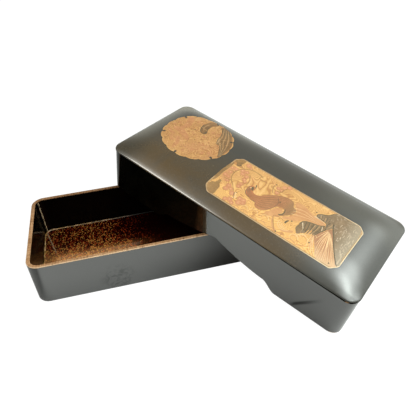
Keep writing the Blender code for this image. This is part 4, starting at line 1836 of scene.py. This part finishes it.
# %% [markdown]
# ### Lines of the rocks
#
# Brown lines in the olive steps and at the top of the rock wall show how the rocks are layered.

# %% Brown lines
bm = bmesh.new()
between(
    bm, [(58.0, -16.6), (59.0, -21.6), (60.4, -31.6)], [(74.6, -10.8), (74.0, -15.6), (71.6, -24.4)],
    (0.16, 0.36, 0.58, 0.78), 0.5,
)
brush(bm, [(66.4, -0.6), (67.2, -2.2), (67.6, -3.6)], 0.9)
brush(bm, [(70.2, 0.6), (70.8, -1.8), (71.2, -3.8)], 0.9)
brush(bm, [(78.4, -2.0), (78.0, -5.0), (76.6, -9.6)], 0.8)
drape(bm, "picture_brown_lines", [powders["bank_line"]], 0.15)

# %% [markdown]
# ### Dark lines
#
# The darkest powder comes last. It draws the cracks between the rocks, the bird's head and the edge of
# its tail, and a few dots that lead the eye across the picture.

# %% Dark lines
DARK_DOTS = [
    (50.6, -23.8, 1.5), (72.6, -33.4, 1.4), (61.2, 0.8, 1.3), (45.8, -40.8, 1.3), (94.0, -39.8, 1.2),
    (31.8, -11.6, 1.5), (-2.4, -28.6, 1.0), (17.8, 5.4, 1.3), (1.4, -34.2, 0.8), (-13.6, 8.2, 0.7),
]
bm = bmesh.new()
brush(bm, [(78.6, -1.4), (80.6, -6.6), (86.0, -16.4), (90.0, -24.4), (95.0, -32.4), (100.2, -38.8)], 1.1)
between(
    bm, [(58.8, -16.0), (60.2, -21.6), (62.0, -29.6)], [(75.0, -11.0), (74.6, -16.0), (72.0, -24.4)],
    (0.10, 0.28, 0.46, 0.66, 0.86), 0.75,
)
for x, y in even_places((64.8, 0.2), (73.6, 1.6), 5):
    brush(bm, [(x, y), (x + 0.7, y - 2.0), (x + 1.0, -4.2)], 0.55)
brush(bm, [
    (73.6, 10.0), (70.8, 5.0), (64.6, 0.6), (63.2, -2.4), (64.8, -3.7), (69.0, -4.2), (73.6, -5.6),
    (74.6, -8.4),
], 0.8)
brush(bm, [(57.0, -22.0), (57.8, -17.4), (61.0, -14.8), (70.6, -11.4), (74.0, -8.8)], 0.9)
brush(bm, [(76.4, -10.6), (75.8, -14.2), (73.8, -18.6), (72.8, -22.4), (71.4, -24.8)], 0.8)
brush(bm, [(76.2, -2.4), (75.2, -5.6), (75.8, -9.6)], 0.8)
brush(bm, [(4.2, -12.6), (5.2, -14.8), (6.2, -17.0)], 2.2)
brush(bm, [(5.2, -8.4), (6.0, -10.2), (7.0, -12.6)], 1.0)
brush(bm, [(38.2, -25.4), (40.4, -23.6), (40.9, -20.0), (39.6, -15.8)], 1.1)
brush(bm, [(47.4, -29.6), (47.6, -26.8), (48.6, -24.8)], 1.4)
brush(bm, [(-20.0, 4.6), (-22.0, 1.2), (-23.4, 2.4)], 0.8)
brush(bm, [(-4.0, -29.6), (-2.4, -32.6), (-0.4, -35.4)], 0.5)
for x, y, across in DARK_DOTS:
    dot(bm, x, y, across)
drape(bm, "picture_dark_lines", [powders["dark_line"]], 0.16)

# %% [markdown]
# ## The round picture
#
# The round picture is a "snow ring": a disc whose edge is cut into eighteen small waves, with a black
# dot in every third hollow. A circle of many points is pushed in and out to make the waves, and an inset
# makes the thin line round it.

# %% The round picture's ground
DISC_MIDDLE = Vector((-75.6, 8.6))
DISC_RADIUS = 35.6
DISC_WAVES = 18
WAVE_DEPTH = 1.3
DISC_LINE = 0.55
FIRST_DOT = math.radians(30)

bm = bmesh.new()
bmesh.ops.create_circle(bm, cap_ends=True, segments=12 * DISC_WAVES, radius=1.0)
for vert in bm.verts:
    angle = math.atan2(vert.co.y, vert.co.x) - FIRST_DOT
    vert.co *= DISC_RADIUS - WAVE_DEPTH + WAVE_DEPTH * abs(math.sin(angle * DISC_WAVES / 2)) ** 0.7
disc_line = bmesh.ops.inset_region(bm, faces=bm.faces[:], thickness=DISC_LINE, use_boundary=True)["faces"]
for face in disc_line:
    face.material_index = 1
bmesh.ops.translate(bm, verts=bm.verts, vec=(*DISC_MIDDLE, 0.0))
drape(bm, "round_picture_ground", [round_ground, gold_ground], 0.05)

# %% [markdown]
# ### The dots in the hollows
#
# Six black dots mark every third hollow. Each is an oval, turned so that its short side runs along the
# edge.

# %% The dots in the hollows
DOTS = 6
DOT_LONG, DOT_SHORT = 2.9, 2.3
FROM_EDGE = 2.4

bm = bmesh.new()
for step in range(DOTS):
    angle = FIRST_DOT + step * math.tau / DOTS
    outward = Vector((math.cos(angle), math.sin(angle)))
    spot = DISC_MIDDLE + outward * (DISC_RADIUS - FROM_EDGE)
    dot(bm, spot.x, spot.y, DOT_LONG, DOT_SHORT, angle)
drape(bm, "round_picture_dots", [powders["black_dot"]], 0.16)

# %% [markdown]
# ### Bank and curl
#
# A brown bank fills the right side of the disc, and a brown curl of rock comes in from the far edge.

# %% Bank and curl
STREAKED_BANK = [
    (-69.4, 41.8), (-64.6, 33.6), (-60.6, 26.0), (-59.0, 20.4), (-57.6, 15.6), (-55.4, 11.8), (-54.0, 12.8),
    (-52.6, 13.2), (-50.6, 10.4), (-47.6, 5.0), (-44.8, 0.2), (-42.8, -3.0), (-41.8, 2.0), (-41.4, 9.8),
    (-42.4, 17.6), (-45.4, 24.8), (-49.8, 31.0), (-55.0, 36.4), (-61.0, 40.6),
]
CURL = [
    (-81.0, 42.4), (-83.2, 34.0), (-83.6, 27.2), (-82.0, 21.2), (-79.0, 17.0), (-75.6, 15.2), (-72.7, 16.8),
    (-72.6, 19.6), (-74.6, 22.4), (-75.8, 27.2), (-76.0, 33.0), (-73.8, 39.0), (-75.4, 42.6),
]

lay_areas("round_picture_bank", [STREAKED_BANK, CURL], powders["bank_brown"], 0.09)

# %% [markdown]
# ### Rose bands and blossom
#
# Broad rose bands bend through the gold, with blossom between them. They share a powder, so they are one
# piece.

# %% Rose bands and blossom
ROSE_BANDS = [
    ([(-100.6, 30.0), (-97.4, 24.0), (-95.0, 18.0), (-94.4, 11.0), (-97.0, 6.0)], 7.0),
    ([(-101.6, 3.6), (-96.0, 4.0), (-90.0, 3.0), (-83.6, 0.0), (-78.6, -3.4)], 7.0),
    ([(-88.6, -5.4), (-85.4, -9.6), (-83.0, -15.0), (-81.6, -22.0)], 4.4),
    ([(-104.0, -1.0), (-99.0, -4.0), (-94.0, -4.4)], 3.4),
]
DISC_BLOSSOMS = [
    (-103.6, 14.4, 2.0), (-104.6, 8.6, 1.8), (-90.4, 27.8, 1.8), (-70.4, 12.4, 2.1), (-64.2, 1.4, 2.4),
    (-66.4, -11.4, 2.1), (-72.0, -18.6, 2.0), (-57.0, -8.4, 2.1), (-90.4, -12.6, 1.9), (-52.6, -4.2, 2.0),
    (-69.0, 24.4, 1.8), (-63.0, 30.0, 1.6),
]
DISC_PETAL_TURN = 0.9

bm = bmesh.new()
for path, width in ROSE_BANDS:
    brush(bm, path, width)
for number, (x, y, radius) in enumerate(DISC_BLOSSOMS):
    blossom(bm, x, y, radius, turn=DISC_PETAL_TURN * number)
drape(bm, "round_picture_blossoms", [powders["rose_bank"]], 0.10)

# %% [markdown]
# ### Lines of the bank
#
# Dark and pale lines run down the bank by turns, between its left and its right side. The same two
# powders draw the curl's edge and a few dots.

# %% Lines of the bank
BANK_LEFT = [(-67.6, 40.0), (-60.4, 26.6), (-56.8, 14.6), (-50.6, 11.0), (-43.4, -1.8)]
BANK_RIGHT = [(-58.4, 38.4), (-50.8, 30.6), (-45.4, 22.6), (-42.8, 12.0), (-42.2, 0.8)]
for name, shares, powder in (
    ("round_picture_dark_lines", (0.0, 0.30, 0.60, 0.88), "dark_line"),
    ("round_picture_pale_lines", (0.15, 0.44, 0.74), "bank_line"),
):
    bm = bmesh.new()
    between(bm, BANK_LEFT, BANK_RIGHT, shares, 0.6)
    if powder == "dark_line":
        brush(bm, [(-83.2, 28.4), (-81.6, 21.6), (-77.6, 16.2), (-73.6, 17.0)], 0.9)
        brush(bm, [(-76.6, 32.0), (-76.2, 26.0), (-73.6, 20.6)], 0.7)
        dot(bm, -74.1, 18.8, 2.4, 3.2)
        for x, y in ((-75.0, 2.4), (-74.0, -12.6), (-84.6, 15.8)):
            dot(bm, x, y, 0.9)
    else:
        brush(bm, [(-80.0, 33.0), (-80.4, 26.0), (-77.6, 20.0)], 0.8)
        brush(bm, [(-58.4, 22.0), (-56.8, 16.6), (-55.6, 12.6)], 1.4)
    drape(bm, name, [powders[powder]], 0.14)

# %% [markdown]
# ### Rose strokes
#
# Short rose strokes and arcs fill the space between the blossoms, like reeds in the wind.

# %% Rose strokes
DISC_STROKES = [
    [(-102.0, 22.0), (-100.4, 15.0), (-101.4, 8.0)],
    [(-91.0, 31.0), (-88.0, 24.0), (-88.0, 17.0), (-91.0, 10.0)],
    [(-86.0, 10.0), (-80.0, 9.0), (-74.0, 5.6), (-70.6, 0.4)], [(-98.4, -2.0), (-94.0, -8.0), (-91.6, -13.0)],
    [(-86.4, -2.0), (-80.4, -8.6), (-77.4, -16.0)], [(-72.0, -2.4), (-69.4, -8.0), (-69.4, -14.0)],
    [(-66.0, 20.0), (-64.0, 12.0), (-62.6, 5.0)], [(-60.6, 8.0), (-58.6, 1.0), (-58.8, -5.0)],
    [(-64.0, -4.0), (-61.4, -9.0), (-61.6, -14.0)], [(-54.6, 4.0), (-52.6, -2.4), (-53.4, -7.4)],
    [(-76.0, -8.0), (-73.6, -12.4), (-74.6, -17.4)], [(-70.0, 31.0), (-68.6, 24.0), (-69.4, 16.0)],
    [(-83.6, 12.0), (-80.0, 4.0), (-83.0, -4.0)], [(-91.0, -4.0), (-88.4, -8.0), (-88.6, -13.6)],
    [(-76.6, -6.0), (-69.6, -9.4), (-61.6, -8.0)], [(-77.0, -14.6), (-71.0, -12.2), (-66.0, -15.6)],
]
DISC_ARCS = [
    (-64.2, 1.4, 3.4), (-66.4, -11.4, 3.2), (-57.0, -7.4, 3.0), (-80.0, 12.6, 3.6), (-90.4, -10.6, 3.0),
]

bm = bmesh.new()
for path in DISC_STROKES:
    brush(bm, path, 0.6)
for x, y, radius in DISC_ARCS:
    arc(bm, (x, y), radius, 100, 320, 0.45)
drape(bm, "round_picture_lines", [powders["rose_line"]], 0.13)

# %% [markdown]
# ### Threads and glints
#
# The real disc is covered with fine engraved threads that catch the light. They are far too many to place
# by hand, and a plain noise has no direction. So short strokes are strewn over the disc, and each follows
# a smooth flow that turns slowly from place to place.

# %% Threads and glints
FLOW_TURNS = 1.5
FLOW_WIDE, FLOW_HIGH = 13, 11
THREADS = [
    # name, how many, powder, lift
    ("round_picture_threads", 120, "soft_ochre", 0.12),
    ("round_picture_glints", 70, "soft_gold", 0.125),
]

for name, count, powder, lift in THREADS:
    bm = bmesh.new()
    for _ in range(count):
        away, angle = DISC_RADIUS * math.sqrt(hand.uniform(0.0, 0.80)), hand.uniform(0.0, math.tau)
        spot = DISC_MIDDLE + Vector((math.cos(angle), math.sin(angle))) * away
        flow = FLOW_TURNS * (math.sin(spot.x / FLOW_WIDE) + math.cos(spot.y / FLOW_HIGH))
        long = Vector((math.cos(flow), math.sin(flow))) * hand.uniform(0.9, 2.2)
        aside = Vector((-long.y, long.x)) * hand.uniform(-0.35, 0.35)
        path = [tuple(spot - long), tuple(spot + aside), tuple(spot + long)]
        brush(bm, path, hand.uniform(0.24, 0.40))
    drape(bm, name, [powders[powder]], lift)
